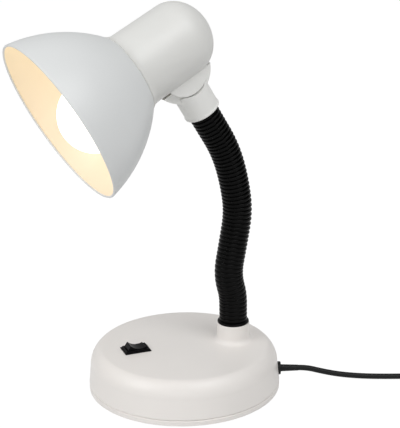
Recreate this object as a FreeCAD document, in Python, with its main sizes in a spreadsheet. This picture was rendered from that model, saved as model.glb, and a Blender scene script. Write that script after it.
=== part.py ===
import FreeCAD, Part
import math
import os
import Sketcher
from FreeCAD import Placement, Rotation, Vector

# Gooseneck desk lamp, millimetres. The origin is the middle of the round base on the table,
# +Z up, -Y towards the switch, and the neck stands in a boss at the back.
doc = FreeCAD.newDocument("DeskLamp")

SIZES = [
    # Base shell, a moulded dish with rounded shoulders
    ("base_dia", 150.0, "widest diameter, at the seam above the bottom cover"),
    ("base_height", 34.0, "table to the flat top"),
    ("base_wall", 2.2, "wall of the shell"),
    ("seam_height", 5.1, "lower edge of the shell"),
    ("shoulder_draft", 1.5, "wall leans in by this from the seam up to its rounding"),
    ("shoulder_height", 20.5, "height where the wall starts to round over"),
    ("shoulder_radius", 16.0, "first half of the rounding"),
    ("boss_inset", 34.6, "middle of the neck boss in from the back edge"),
    ("boss_dia", 25.6, "neck boss"),
    ("boss_rise", 14.7, "neck boss above the flat top"),
    ("boss_fillet", 4.0, "foot of the boss"),
    # Bottom cover, pads, ballast and screws
    ("cover_lift", 0.8, "gap under the cover"),
    ("cover_plate", 2.4, "plate of the cover"),
    ("cover_lip", 2.0, "locating lip inside the shell"),
    ("pad_dia", 12.0, "foot pad"),
    ("pad_height", 2.0, "foot pad"),
    ("pad_inset", 16.0, "middle of an outer pad in from the edge"),
    ("ballast_inset", 17.0, "steel plate in from the edge"),
    ("ballast_height", 6.0, "steel plate"),
    ("pillar_dia", 8.0, "screw pillar in the shell"),
    ("pillar_inset", 11.0, "middle of a pillar in from the edge"),
    ("screw_dia", 2.9, "cover screw"),
    ("screw_head_dia", 6.4, "cover screw"),
    ("screw_head_height", 1.2, "height of the head"),
    ("screw_length", 12.0, "cover screw under its head"),
    # Rocker switch, a common snap-in size
    ("switch_inset", 36.5, "middle of the switch in from the front edge"),
    ("switch_angle", 6.0, "switch turned on the base, degrees"),
    ("bezel_width", 15.0, "bezel across the lamp"),
    ("bezel_length", 21.0, "bezel along the lamp"),
    ("bezel_height", 2.0, "bezel above the base"),
    ("switch_width", 13.0, "switch body across"),
    ("switch_length", 19.0, "switch body along"),
    ("switch_depth", 14.0, "switch body below the top"),
    ("rocker_width", 10.4, "rocker across"),
    ("rocker_length", 15.2, "rocker along"),
    ("rocker_rise", 4.2, "rocker's two crests above its pivot"),
    ("rocker_dip", 2.3, "rocker's middle above its pivot"),
    ("rocker_crest", 6.2, "crests either side of the pivot"),
    ("rocker_edge", 1.2, "top of its end faces above the pivot"),
    ("rocker_tilt", 10.0, "rocker at rest, front end up"),
    ("rocker_gap", 0.3, "play around the rocker"),
    ("pivot_dia", 2.0, "rocker pins"),
    ("blade_length", 7.0, "terminal blades"),
    # Terminal block and wires inside the base
    ("block_width", 18.0, "terminal block across"),
    ("block_depth", 14.0, "terminal block along"),
    ("block_height", 10.0, "terminal block"),
    ("block_left", 20.0, "terminal block left of the middle"),
    ("block_behind", 8.0, "terminal block behind the middle"),
    ("wire_dia", 2.2, "single wires"),
    ("neck_lead_dia", 3.2, "two-core lead up the neck"),
    # Cord and its gland
    ("cord_dia", 4.4, "mains cord"),
    ("gland_angle", 14.0, "gland from straight back towards +X, degrees"),
    ("gland_height", 12.5, "gland axis above the table"),
    ("gland_flange_dia", 10.4, "flange outside the wall"),
    ("gland_flange", 3.0, "flange thickness"),
    ("gland_seat", 1.0, "flange sunk into the wall"),
    ("relief_length", 14.0, "tapered sleeve outside the flange"),
    ("relief_dia", 5.6, "sleeve at the flange"),
    ("coil_dia", 50.0, "middle of the coil's turns"),
    ("coil_gap", 0.6, "least gap between turns"),
    ("tie_wall", 1.0, "strap round the coil"),
    ("tie_width", 7.0, "strap round the coil"),
    ("plug_length", 36.0, "flat two-pin plug"),
    ("plug_width", 35.0, "flat two-pin plug"),
    ("plug_height", 13.7, "flat two-pin plug"),
    ("pin_dia", 4.0, "plug pins"),
    ("pin_length", 19.0, "plug pins"),
    ("pin_spacing", 19.0, "plug pins"),
    # Neck: a centre line of arcs, each with a length and the lean at its end
    ("neck_angle", 14.5, "plane of the neck and head, turned towards +X, degrees"),
    ("foot_ring_dia", 25.0, "black ring on the boss"),
    ("foot_ring", 2.0, "thickness of that ring"),
    ("neck_run", 14.0, "straight start"),
    ("bend_1", 14.0, "first bend"),
    ("lean_angle_1", 16.0, "forward lean after the first bend, degrees"),
    ("bend_2", 22.0, "second bend"),
    ("lean_angle_2", -12.0, "lean after the second bend"),
    ("bend_3", 28.0, "third bend"),
    ("lean_angle_3", -10.7, "lean after the third bend"),
    ("bend_4", 24.0, "fourth bend"),
    ("lean_angle_4", 8.0, "lean after the fourth bend"),
    ("bend_5", 24.0, "fifth bend"),
    ("lean_angle_5", 15.4, "lean after the fifth bend"),
    ("bend_6", 30.0, "sixth bend"),
    ("lean_angle_6", 31.0, "lean after the sixth bend"),
    ("neck_end_run", 24.0, "straight end under the collar"),
    ("core_dia", 16.0, "steel gooseneck inside the sleeve"),
    ("core_bore", 5.6, "bore for the lead"),
    ("ball_dia", 12.0, "ball of a link"),
    ("ball_gap", 0.3, "play round a ball"),
    ("skirt", 2.0, "socket below the middle of its ball"),
    ("link_gap", 3.0, "shoulder below the next link's socket"),
    ("stem_length", 26.0, "threaded stem below the boss's top"),
    ("nut_height", 5.0, "nut under the base's top"),
    ("nut_dia", 26.0, "nut over its corners"),
    ("washer", 1.0, "washer under the base's top"),
    ("sleeve_dia", 22.0, "ribs at the foot"),
    ("sleeve_growth", 1.4, "more at the collar"),
    ("sleeve_bore", 17.6, "inside of the sleeve"),
    ("rib_depth", 1.1, "depth of the grooves"),
    # Collar and knuckle
    ("collar_dia", 27.6, "collar"),
    ("collar_rim", 0.4, "lip at its lower edge, proud of the collar"),
    ("collar_rim_height", 1.6, "height of that lip"),
    ("collar_height", 21.5, "collar's wall"),
    ("stem_seat", 14.0, "depth of the neck in the collar"),
    ("knuckle_height", 38.0, "collar's lower edge to the knuckle bolt"),
    ("cheek_dia", 36.0, "round cheeks of the head"),
    ("cheek_gap", 0.6, "gap between a cheek and the collar"),
    ("cheek_width", 5.7, "each cheek"),
    ("tongue_dia", 48.4, "round tongue of the collar"),
    ("tongue_width", 12.0, "tongue"),
    ("tongue_top", 9.0, "top of the round part below the bolt"),
    ("eye_dia", 14.0, "tongue round the bolt"),
    ("knuckle_play", 0.3, "gap on each side of the tongue"),
    ("bolt_dia", 4.0, "knuckle bolt"),
    ("bolt_head_dia", 7.0, "knuckle bolt"),
    ("bolt_head_height", 2.5, "head and nut, let into the cheeks"),
    # Head: sizes along its axis count from the shade's mouth
    ("head_angle", 27.3, "shade looks down by this, degrees"),
    ("bolt_back", 97.0, "knuckle bolt behind the mouth"),
    ("bolt_drop", 20.0, "knuckle bolt below the head's axis"),
    ("mouth_dia", 129.0, "mouth of the shade"),
    ("shade_length", 61.5, "mouth to the back of the shade"),
    ("shade_back_dia", 62.0, "back of the shade"),
    ("shade_radius", 106.0, "bow of the shade's wall"),
    ("shade_sheet", 1.0, "metal of the shade"),
    ("bead", 0.9, "radius of the rolled edge"),
    ("shade_hole_dia", 37.0, "hole for the lamp holder"),
    ("housing_front_dia", 57.2, "housing behind its flare"),
    ("housing_dia", 56.4, "housing before its round end"),
    ("housing_flare", 6.5, "length of the flare at the shade"),
    ("flare_radius", 10.0, "hollow of the flare"),
    ("housing_round", 107.5, "start of the round end"),
    ("housing_cap", 24.0, "length of the round end"),
    ("housing_radius", 22.0, "first half of the round end"),
    ("housing_wall", 2.0, "wall of the housing"),
    ("shade_screw_offset", 24.0, "shade screws to each side"),
    ("shade_screw_dia", 2.4, "shade screws"),
    ("shade_screw_head_dia", 5.2, "shade screws"),
    ("shade_screw_head_height", 2.2, "shade screws"),
    ("shade_screw_length", 10.0, "shade screws"),
    ("screw_boss_dia", 6.4, "bosses for the shade screws"),
    ("bracket_sheet", 1.1, "holder bracket"),
    ("bracket_width", 36.4, "outside of the bracket's arms"),
    ("bracket_height", 12.0, "bracket's arms"),
    # Bulb and lamp holder: sizes along their axis count from the middle of the globe
    ("globe_back", 26.6, "middle of the globe behind the mouth"),
    ("globe_drop", 11.5, "middle of the globe below the head's axis"),
    ("holder_tilt", 13.0, "nose-down tilt of the holder, degrees"),
    ("globe_dia", 55.0, "bulb"),
    ("globe_break", 16.0, "end of the globe's round"),
    ("bulb_shoulder_radius", 50.6, "hollow between globe and cap"),
    ("cap_front", 44.0, "front of the screw cap"),
    ("cap_length", 22.0, "screw cap"),
    ("cap_dia", 26.0, "screw cap"),
    ("tip_length", 3.6, "black glass and tip"),
    ("holder_front", 38.0, "rim of the lamp holder"),
    ("holder_length", 36.0, "lamp holder"),
    ("holder_dia", 30.4, "lamp holder"),
    ("holder_bore", 28.0, "inside of the holder"),
    ("thread_dia", 26.7, "inside of the thread shell"),
    ("thread_sheet", 0.55, "thread shell"),
]

RIBS_AT_FOOT = 4
RIBS_PER_LINK = 5
RIBS_AT_COLLAR = 5
LINKS = 9
PILLAR_ANGLES = (30, 150, 270)
PAD_ANGLES = (45, 135, 225, 315)
HALF_TURN = 180
EIGHTH = math.sqrt(0.5)
OVER = 1.0


class Size:
    """A length that carries both its number and its expression on the size sheet."""

    def __init__(self, words, number):
        self.words = words
        self.number = number

    def joined(self, other, sign, number):
        return Size(f"({self.words} {sign} {words_of(other)})", number)

    def __add__(self, other):
        return self.joined(other, "+", self.number + number_of(other))

    def __sub__(self, other):
        return self.joined(other, "-", self.number - number_of(other))

    def __mul__(self, other):
        return self.joined(other, "*", self.number * number_of(other))

    def __truediv__(self, other):
        return self.joined(other, "/", self.number / number_of(other))

    def __neg__(self):
        return Size(f"(-1 * {self.words})", -self.number)


def words_of(amount):
    return amount.words if isinstance(amount, Size) else repr(float(amount))


def number_of(amount):
    return amount.number if isinstance(amount, Size) else float(amount)


sheet = doc.addObject("Spreadsheet::Sheet", "Sizes")
of = {}
for row, (alias, number, meaning) in enumerate(SIZES, start=1):
    sheet.set(f"A{row}", meaning)
    sheet.set(f"B{row}", str(number))
    sheet.setAlias(f"B{row}", alias)
    of[alias] = Size(f"Sizes.{alias}", number)
doc.recompute()

pieces = []


def bind(thing, name, amount):
    """Tie a property to the size sheet, or set it where it is a plain number."""
    if isinstance(amount, Size):
        thing.setExpression(name, amount.words)
    else:
        setattr(thing, name, amount)


def at(x=0, y=0, z=0):
    return Placement(Vector(number_of(x), number_of(y), number_of(z)), Rotation())


def turned(axis, degrees):
    return Placement(Vector(), Rotation(axis, number_of(degrees)))


ALONG_X = turned(Vector(0, 1, 0), 90)
ALONG_Y = turned(Vector(1, 0, 0), -90)
UNMOVED = Placement()


def cylinder(name, diameter, height, place=UNMOVED):
    solid = doc.addObject("Part::Cylinder", name)
    bind(solid, "Radius", diameter / 2)
    bind(solid, "Height", height)
    solid.Placement = place
    return solid


def middle_cylinder(name, diameter, length, place):
    """A cylinder along X, with its middle at the place."""
    return cylinder(name, diameter, length, place * at(x=number_of(length) / -2) * ALONG_X)


def block(name, width, depth, height, place=UNMOVED):
    """A box on the middle of its lower face."""
    solid = doc.addObject("Part::Box", name)
    bind(solid, "Length", width)
    bind(solid, "Width", depth)
    bind(solid, "Height", height)
    solid.Placement = place * at(x=number_of(width) / -2, y=number_of(depth) / -2)
    return solid


def ball(name, diameter, place):
    solid = doc.addObject("Part::Sphere", name)
    bind(solid, "Radius", diameter / 2)
    solid.Placement = place
    return solid


def ring(name, diameter, thickness, place):
    solid = doc.addObject("Part::Torus", name)
    bind(solid, "Radius1", diameter / 2)
    bind(solid, "Radius2", thickness)
    solid.Placement = place
    return solid


def fused(name, *solids):
    joined = doc.addObject("Part::MultiFuse", name)
    joined.Shapes = list(solids)
    return joined


def cut(name, solid, *tools):
    result = doc.addObject("Part::Cut", name)
    result.Base = solid
    result.Tool = tools[0] if len(tools) == 1 else fused(name + "_cuts", *tools)
    return result


def common(name, solid, other):
    result = doc.addObject("Part::Common", name)
    result.Base = solid
    result.Tool = other
    return result


def group(name, *solids):
    result = doc.addObject("Part::Compound", name)
    result.Links = list(solids)
    return result


def free_shape(name, shape):
    solid = doc.addObject("Part::Feature", name)
    solid.Shape = shape
    return solid


def piece(label, thing):
    """Name a finished sub-part; its label is the name of its file."""
    thing.Label = label
    pieces.append(thing)
    return thing


def corner(across, along, radius=None, centre=None):
    """A corner of an outline; radius and centre describe an arc to the next corner."""
    return across, along, radius, centre


def outline_sketch(body, plane, corners):
    """Draw a closed outline on a plane of a body, each corner tied to the size sheet."""
    sketch = body.newObject("Sketcher::SketchObject", body.Name + "_outline")
    sketch.AttachmentSupport = [(find_plane(body, plane), "")]
    sketch.MapMode = "FlatFace"
    ends = []
    points = [Vector(number_of(c[0]), number_of(c[1]), 0) for c in corners]
    for index, (_, _, radius, centre) in enumerate(corners):
        start = points[index]
        end = points[(index + 1) % len(points)]
        if radius is None:
            sketch.addGeometry(Part.LineSegment(start, end), False)
            ends.append((1, 2))
            continue
        chord = end - start
        left = Vector(-chord.y, chord.x, 0).normalize()
        side = 1 if centre == "left" else -1
        reach = math.sqrt(number_of(radius) ** 2 - chord.Length ** 2 / 4)
        middle = (start + end) * 0.5 + left * (side * reach)
        first, last = (start, end) if side == 1 else (end, start)
        angles = [math.atan2(p.y - middle.y, p.x - middle.x) for p in (first, last)]
        circle = Part.Circle(middle, Vector(0, 0, 1), number_of(radius))
        sketch.addGeometry(Part.ArcOfCircle(circle, angles[0], angles[1]), False)
        ends.append((1, 2) if side == 1 else (2, 1))
    for index, (across, along, radius, _) in enumerate(corners):
        following = (index + 1) % len(corners)
        sketch.addConstraint(
            Sketcher.Constraint("Coincident", index, ends[index][1], following, ends[following][0])
        )
        hold_corner(sketch, "DistanceX", index, ends[index][0], across, -2)
        hold_corner(sketch, "DistanceY", index, ends[index][0], along, -1)
        if radius is not None:
            number = sketch.addConstraint(Sketcher.Constraint("Radius", index, number_of(radius)))
            tie_constraint(sketch, number, radius)
    return sketch


def find_plane(body, role):
    return next(plane for plane in body.Origin.OriginFeatures if plane.Role == role)


def hold_corner(sketch, kind, geometry, end, amount, axis):
    """Fix one coordinate of a corner, on an axis where it is nought."""
    size = number_of(amount)
    if abs(size) < 1e-9:
        sketch.addConstraint(Sketcher.Constraint("PointOnObject", geometry, end, axis))
    elif size > 0:
        number = sketch.addConstraint(Sketcher.Constraint(kind, -1, 1, geometry, end, size))
        tie_constraint(sketch, number, amount)
    else:
        number = sketch.addConstraint(Sketcher.Constraint(kind, geometry, end, -1, 1, -size))
        tie_constraint(sketch, number, -amount)


def tie_constraint(sketch, number, amount):
    if isinstance(amount, Size):
        sketch.setExpression(f"Constraints[{number}]", amount.words)


def revolved(name, corners, place=UNMOVED):
    """A turned solid about Z from an outline of (radius, height) corners."""
    body = doc.addObject("PartDesign::Body", name)
    sketch = outline_sketch(body, "XZ_Plane", corners)
    turn = body.newObject("PartDesign::Revolution", name + "_turned")
    turn.Profile = sketch
    turn.ReferenceAxis = (sketch, ["V_Axis"])
    turn.Angle = 2 * HALF_TURN
    body.Placement = place
    return body


def padded(name, plane, corners, width, place=UNMOVED):
    """A plate of even thickness, its outline drawn on the middle plane."""
    body = doc.addObject("PartDesign::Body", name)
    sketch = outline_sketch(body, plane, corners)
    pad = body.newObject("PartDesign::Pad", name + "_padded")
    pad.Profile = sketch
    pad.Midplane = True
    bind(pad, "Length", width)
    body.Placement = place
    return body


def rounded_route(points):
    """Straight runs joined by tangent arcs; returns the wire and the arcs' radii."""
    edges = []
    radii = []
    start = points[0]
    for before, here, after in zip(points, points[1:], points[2:]):
        inward = (here - before).normalize()
        outward = (after - here).normalize()
        half_turn = inward.getAngle(outward) / 2
        reach = 0.45 * min((here - before).Length, (after - here).Length)
        radii.append(reach / math.tan(half_turn))
        enter = here - inward * reach
        leave = here + outward * reach
        to_middle = (enter + leave) * 0.5 - here
        sink = radii[-1] / math.cos(half_turn) - radii[-1]
        middle = here + to_middle.normalize() * sink
        edges.append(Part.LineSegment(start, enter).toShape())
        edges.append(Part.Arc(enter, middle, leave).toShape())
        start = leave
    edges.append(Part.LineSegment(start, points[-1]).toShape())
    return Part.Wire(edges), radii


def swept_round(wire, start, direction, diameter):
    """A round tube along a wire, as one pipe shell."""
    section = Part.Wire(Part.makeCircle(diameter / 2, start, direction))
    sweep = Part.BRepOffsetAPI.MakePipeShell(wire)
    sweep.add(section)
    sweep.build()
    sweep.makeSolid()
    return sweep.shape()


def cord_along(name, points, diameter):
    """A round cord along a route chosen by hand, its volume set against its length."""
    wire, radii = rounded_route(points)
    solid = swept_round(wire, points[0], points[1] - points[0], diameter)
    expected = math.pi * diameter ** 2 / 4 * wire.Length
    print(name, "length", round(wire.Length, 1), "radii", [round(r, 1) for r in radii])
    print(name, "volume over section times length", round(solid.Volume / expected, 4))
    return free_shape(name, solid)


# Base shell: a dish turned upside down, with the boss, the pillars and the cut-outs.
wall_radius = of["base_dia"] / 2 - of["shoulder_draft"]
round_one = of["shoulder_radius"]
knee_across = wall_radius - round_one * (1 - EIGHTH)
knee_along = of["shoulder_height"] + round_one * EIGHTH
round_two = (of["base_height"] - knee_along) / (1 - EIGHTH)
flat_radius = knee_across - round_two * EIGHTH
inner_top = of["base_height"] - of["base_wall"]
dish = revolved("dish", [
    corner(of["base_dia"] / 2, of["seam_height"]),
    corner(wall_radius, of["shoulder_height"], round_one, "left"),
    corner(knee_across, knee_along, round_two, "left"),
    corner(flat_radius, of["base_height"]),
    corner(0, of["base_height"]),
    corner(0, inner_top),
    corner(flat_radius, inner_top, round_two - of["base_wall"], "right"),
    corner(
        knee_across - of["base_wall"] * EIGHTH,
        knee_along - of["base_wall"] * EIGHTH,
        round_one - of["base_wall"],
        "right",
    ),
    corner(wall_radius - of["base_wall"], of["shoulder_height"]),
    corner(of["base_dia"] / 2 - of["base_wall"], of["seam_height"]),
])

boss_radius = of["boss_dia"] / 2
boss_offset = of["base_dia"] / 2 - of["boss_inset"]
boss_top = of["base_height"] + of["boss_rise"]
boss_place = at(y=boss_offset)
boss = revolved("boss", [
    corner(0, inner_top),
    corner(boss_radius + of["boss_fillet"], inner_top),
    corner(boss_radius + of["boss_fillet"], of["base_height"], of["boss_fillet"], "right"),
    corner(boss_radius, of["base_height"] + of["boss_fillet"]),
    corner(boss_radius, boss_top),
    corner(0, boss_top),
], boss_place)

plate_top = of["cover_lift"] + of["cover_plate"]
pillar_places = [
    turned(Vector(0, 0, 1), angle) * at(x=of["base_dia"] / 2 - of["pillar_inset"])
    for angle in PILLAR_ANGLES
]
pillar_height = inner_top + 0.2 - plate_top
pillars = [
    cylinder(f"pillar_{count}", of["pillar_dia"], pillar_height, place * at(z=plate_top))
    for count, place in enumerate(pillar_places)
]
pillar_holes = [
    cylinder(
        f"pillar_hole_{count}",
        of["screw_dia"] + 0.1,
        of["screw_length"] + OVER,
        place * at(z=plate_top - OVER),
    )
    for count, place in enumerate(pillar_places)
]
stem_hole = cylinder(
    "stem_hole",
    of["core_dia"] + 0.4,
    of["boss_rise"] + of["base_wall"] + 2 * OVER,
    boss_place * at(z=inner_top - OVER),
)
switch_offset = of["base_dia"] / 2 - of["switch_inset"]
switch_turned = turned(Vector(0, 0, 1), of["switch_angle"])
switch_place = at(y=-switch_offset, z=of["base_height"]) * switch_turned
switch_hole = block(
    "switch_hole",
    of["switch_width"] + 0.2,
    of["switch_length"] + 0.2,
    of["base_wall"] + 2 * OVER,
    switch_place * at(z=-(of["base_wall"] + OVER)),
)

# The gland's frame: its Z runs out of the base along the cord.
gland_height = of["gland_height"]
gland_axis = turned(Vector(0, 0, 1), -of["gland_angle"]) * at(z=gland_height) * ALONG_Y
wall_slope = of["shoulder_draft"] / (of["shoulder_height"] - of["seam_height"])
gland_wall = of["base_dia"] / 2 - wall_slope * (gland_height - of["seam_height"])
flange_back = gland_wall - of["gland_seat"]
neck_of_gland_dia = of["relief_dia"] + 0.4
gland_hole = cylinder(
    "gland_hole",
    neck_of_gland_dia + 0.1,
    of["base_wall"] * 3,
    gland_axis * at(z=flange_back - of["base_wall"] * 2),
)
gland_recess = cylinder(
    "gland_recess",
    of["gland_flange_dia"] + 0.2,
    of["gland_flange"] * 2,
    gland_axis * at(z=flange_back),
)
piece("base_shell", cut(
    "base_shell",
    fused("base_walls", dish, boss, *pillars),
    *pillar_holes, stem_hole, switch_hole, gland_hole, gland_recess,
))

# Bottom cover: a plate whose rim carries on the wall below the seam, with a lip inside it.
cover_radius = of["base_dia"] / 2
lip_radius = cover_radius - of["base_wall"] - 0.6
cover_top = of["seam_height"] - 0.1
lip_top = of["seam_height"] + of["cover_lip"]
cover_edge = 0.8
cover_disc = revolved("cover_disc", [
    corner(0, of["cover_lift"]),
    corner(cover_radius - cover_edge, of["cover_lift"]),
    corner(cover_radius, of["cover_lift"] + cover_edge),
    corner(cover_radius, cover_top),
    corner(lip_radius, cover_top),
    corner(lip_radius, lip_top),
    corner(lip_radius - of["cover_lip"], lip_top),
    corner(lip_radius - of["cover_lip"], plate_top),
    corner(0, plate_top),
])
pad_places = [UNMOVED]
pad_places += [
    turned(Vector(0, 0, 1), angle) * at(x=of["base_dia"] / 2 - of["pad_inset"])
    for angle in PAD_ANGLES
]
pad_recesses = [
    cylinder(
        f"pad_recess_{count}",
        of["pad_dia"] + 0.2,
        of["pad_height"] - of["cover_lift"] + OVER,
        place * at(z=of["cover_lift"] - OVER),
    )
    for count, place in enumerate(pad_places)
]
head_top = of["cover_lift"] + of["screw_head_height"] + 0.2
screw_holes = []
for count, place in enumerate(pillar_places):
    screw_holes.append(cylinder(
        f"screw_hole_{count}", of["screw_dia"] + 0.5, of["cover_plate"] + 2 * OVER, place
    ))
    screw_holes.append(cylinder(
        f"head_recess_{count}", of["screw_head_dia"] + 0.4, head_top, place
    ))
piece("base_bottom_cover", cut("base_bottom_cover", cover_disc, *pad_recesses, *screw_holes))
piece("foot_pads", group("foot_pads", *[
    cylinder(f"foot_pad_{count}", of["pad_dia"], of["pad_height"], place)
    for count, place in enumerate(pad_places)
]))
cover_screws = []
for count, place in enumerate(pillar_places):
    cover_screws.append(fused(
        f"cover_screw_{count}",
        cylinder(
            f"screw_head_{count}", of["screw_head_dia"], of["screw_head_height"],
            place * at(z=head_top - of["screw_head_height"]),
        ),
        cylinder(
            f"screw_shank_{count}", of["screw_dia"], of["screw_length"] - OVER,
            place * at(z=head_top),
        ),
    ))
piece("base_cover_screws", group("base_cover_screws", *cover_screws))
piece("ballast_plate", cylinder(
    "ballast_plate", of["base_dia"] - of["ballast_inset"] * 2, of["ballast_height"], at(z=plate_top)
))

# Rocker switch: a snap-in frame, its rocker on two pins, and blades below.
pivot_rise = 0.5
cavity_depth = of["switch_depth"] * 0.65
switch_cavity = block(
    "switch_cavity",
    of["rocker_width"] + of["rocker_gap"] * 2,
    of["rocker_length"] + of["rocker_gap"] * 5,
    cavity_depth + of["bezel_height"] + OVER,
    switch_place * at(z=-cavity_depth),
)
pin_reach = 1.0
pin_place = switch_place * at(z=pivot_rise)
pin_holes = middle_cylinder(
    "pin_holes", of["pivot_dia"] + 0.1, of["rocker_width"] + pin_reach * 2 + 0.2, pin_place
)
piece("rocker_switch_frame", cut(
    "rocker_switch_frame",
    fused(
        "switch_frame_walls",
        block(
            "switch_bezel", of["bezel_width"], of["bezel_length"], of["bezel_height"], switch_place,
        ),
        block(
            "switch_body", of["switch_width"], of["switch_length"], of["switch_depth"],
            switch_place * at(z=-of["switch_depth"]),
        ),
    ),
    switch_cavity, pin_holes,
))
half_rocker = of["rocker_length"] / 2
rocker_place = pin_place * turned(Vector(1, 0, 0), -of["rocker_tilt"])
rocker_side = padded("rocker_side", "YZ_Plane", [
    corner(-half_rocker, of["rocker_edge"]),
    corner(-of["rocker_crest"], of["rocker_rise"], of["rocker_length"], "left"),
    corner(0, of["rocker_dip"], of["rocker_length"], "left"),
    corner(of["rocker_crest"], of["rocker_rise"]),
    corner(half_rocker, of["rocker_edge"]),
    corner(half_rocker, -1),
    corner(half_rocker / 3, -5),
    corner(-half_rocker / 3, -5),
    corner(-half_rocker, -1),
], of["rocker_width"], rocker_place)
rocker_pins = middle_cylinder(
    "rocker_pins", of["pivot_dia"], of["rocker_width"] + pin_reach * 2, rocker_place
)
piece("rocker_button", fused("rocker_button", rocker_side, rocker_pins))
blade_place = switch_place * at(z=-(of["switch_depth"] + of["blade_length"]))
blade_spread = 5.0
blade_width = 4.8
blade_sheet = 0.8
piece("switch_blades", group("switch_blades", *[
    block(
        f"switch_blade_{count}", blade_width, blade_sheet, of["blade_length"],
        blade_place * at(y=side * blade_spread),
    )
    for count, side in enumerate((-1, 1))
]))

# Terminal block on the ballast, with two brass inserts, and the wires inside the base.
ballast_top = plate_top + of["ballast_height"]
block_place = at(x=-of["block_left"], y=of["block_behind"], z=ballast_top)
insert_rise = of["block_height"] / 2
insert_spread = 3.5
insert_dia = 5.0
insert_places = [
    block_place * at(x=side * insert_spread, y=of["block_depth"] / -2, z=insert_rise) * ALONG_Y
    for side in (-1, 1)
]
piece("terminal_block", cut(
    "terminal_block",
    block("block_walls", of["block_width"], of["block_depth"], of["block_height"], block_place),
    *[
        cylinder(f"insert_hole_{count}", Size(str(insert_dia), insert_dia), of["block_depth"], place)
        for count, place in enumerate(insert_places)
    ],
))
piece("terminal_inserts", group("terminal_inserts", *[
    cylinder(f"terminal_insert_{count}", Size(str(insert_dia), insert_dia), of["block_depth"], place)
    for count, place in enumerate(insert_places)
]))
block_back = number_of(of["block_behind"] + of["block_depth"] / 2)
block_front = number_of(of["block_behind"] - of["block_depth"] / 2)
insert_left = -number_of(of["block_left"]) - insert_spread
insert_right = -number_of(of["block_left"]) + insert_spread
insert_height = number_of(ballast_top + insert_rise)
blade_contact = 0.1
rear_blade, front_blade = (
    switch_place.multVec(Vector(-blade_width / 2, side * blade_spread, 0)) for side in (1, -1)
)
relief_end = number_of(flange_back + of["gland_flange"] + of["relief_length"])
lead_start = gland_axis.multVec(Vector(0, 0, relief_end))
lead_inside = gland_axis.multVec(Vector(0, 0, number_of(flange_back) - 22))
piece("base_lead", cord_along("base_lead", [
    lead_start,
    lead_inside,
    Vector(insert_left, number_of(boss_offset) - 1, insert_height),
    Vector(insert_left, block_back, insert_height),
], number_of(of["cord_dia"])))
piece("switch_wires", group(
    "switch_wires",
    cord_along("rear_switch_wire", [
        Vector(insert_right, block_front, insert_height),
        Vector(insert_right, block_front - 26, insert_height),
        Vector(insert_right + 7, rear_blade.y, insert_height),
        Vector(rear_blade.x - blade_contact, rear_blade.y, insert_height),
    ], number_of(of["wire_dia"])),
    cord_along("front_switch_wire", [
        Vector(insert_left, block_front, insert_height),
        Vector(insert_left, block_front - 34, insert_height),
        Vector(insert_left + 10, front_blade.y, insert_height),
        Vector(front_blade.x - blade_contact, front_blade.y, insert_height),
    ], number_of(of["wire_dia"])),
))
boss_y = number_of(boss_offset)
stem_bottom = number_of(boss_top - of["stem_length"])
piece("neck_lead", cord_along("neck_lead", [
    Vector(insert_right, block_back, insert_height),
    Vector(insert_right, block_back + 12, insert_height),
    Vector(-8, boss_y - 5.4, insert_height + 1.5),
    Vector(0, boss_y, stem_bottom - 1),
    Vector(0, boss_y, number_of(boss_top)),
], number_of(of["neck_lead_dia"])))

# Gland: flange, grooved neck through the wall, and a tapered sleeve round the cord.
gland_bore = of["cord_dia"] / 2 + 0.05
gland_neck = neck_of_gland_dia / 2
gland_slack = 0.8
gland_inner = gland_wall - of["base_wall"] - gland_slack
gland_inner_flange = 1.5
piece("cord_gland", revolved("cord_gland", [
    corner(gland_bore, gland_inner - gland_inner_flange),
    corner(gland_neck + 1.4, gland_inner - gland_inner_flange),
    corner(gland_neck + 1.4, gland_inner),
    corner(gland_neck, gland_inner),
    corner(gland_neck, flange_back),
    corner(of["gland_flange_dia"] / 2, flange_back),
    corner(of["gland_flange_dia"] / 2, flange_back + of["gland_flange"]),
    corner(of["relief_dia"] / 2, flange_back + of["gland_flange"]),
    corner(of["cord_dia"] / 2 + 0.25, flange_back + of["gland_flange"] + of["relief_length"]),
    corner(gland_bore, flange_back + of["gland_flange"] + of["relief_length"]),
], gland_axis))

# Mains cord: off the gland, down to the table and along it to a put-away coil with its plug.
# The cord's own frame has X outward along the gland, Y to its left and Z up from the table.
cord_frame = turned(Vector(0, 0, 1), 90 - number_of(of["gland_angle"]))


def on_table(points):
    return [cord_frame.multVec(Vector(*point)) for point in points]


cord_radius = number_of(of["cord_dia"]) / 2
gland_z = number_of(of["gland_height"])
coil_rest = cord_radius + number_of(of["tie_wall"]) + 0.1
coil_radius = number_of(of["coil_dia"]) / 2
turn_pitch = number_of(of["cord_dia"] + of["coil_gap"])
LAYERS = 4
TURNS_PER_LAYER = 2.5
QUARTERS_OUT = 1
coil_turns = LAYERS * TURNS_PER_LAYER + QUARTERS_OUT / 4
outer_radius = coil_radius + turn_pitch * TURNS_PER_LAYER / 2
coil_x = number_of(of["base_dia"] / 2) + 141.0
coil_y = 3.0 + outer_radius


def coil_radius_at(turns):
    """Distance from the coil's middle: the spiral runs in and out, once per pair of layers."""
    layer, within = divmod(turns, TURNS_PER_LAYER)
    if layer >= LAYERS:
        return outer_radius + turn_pitch * within
    inward = within if layer % 2 == 0 else TURNS_PER_LAYER - within
    return outer_radius - turn_pitch * inward


def coil_height_at(turns):
    """Height of the cord's middle: a climb in the half turn about each reversal."""
    height = coil_rest
    for layer in range(1, LAYERS):
        progress = (turns - layer * TURNS_PER_LAYER) / 0.5 + 0.5
        progress = min(max(progress, 0), 1)
        height += turn_pitch * (1 - math.cos(math.pi * progress)) / 2
    return height


def coil_point(turns):
    angle = 2 * math.pi * turns - math.pi / 2
    reach = coil_radius_at(turns)
    return Vector(
        coil_x + reach * math.cos(angle),
        coil_y + reach * math.sin(angle),
        coil_height_at(turns),
    )


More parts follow.
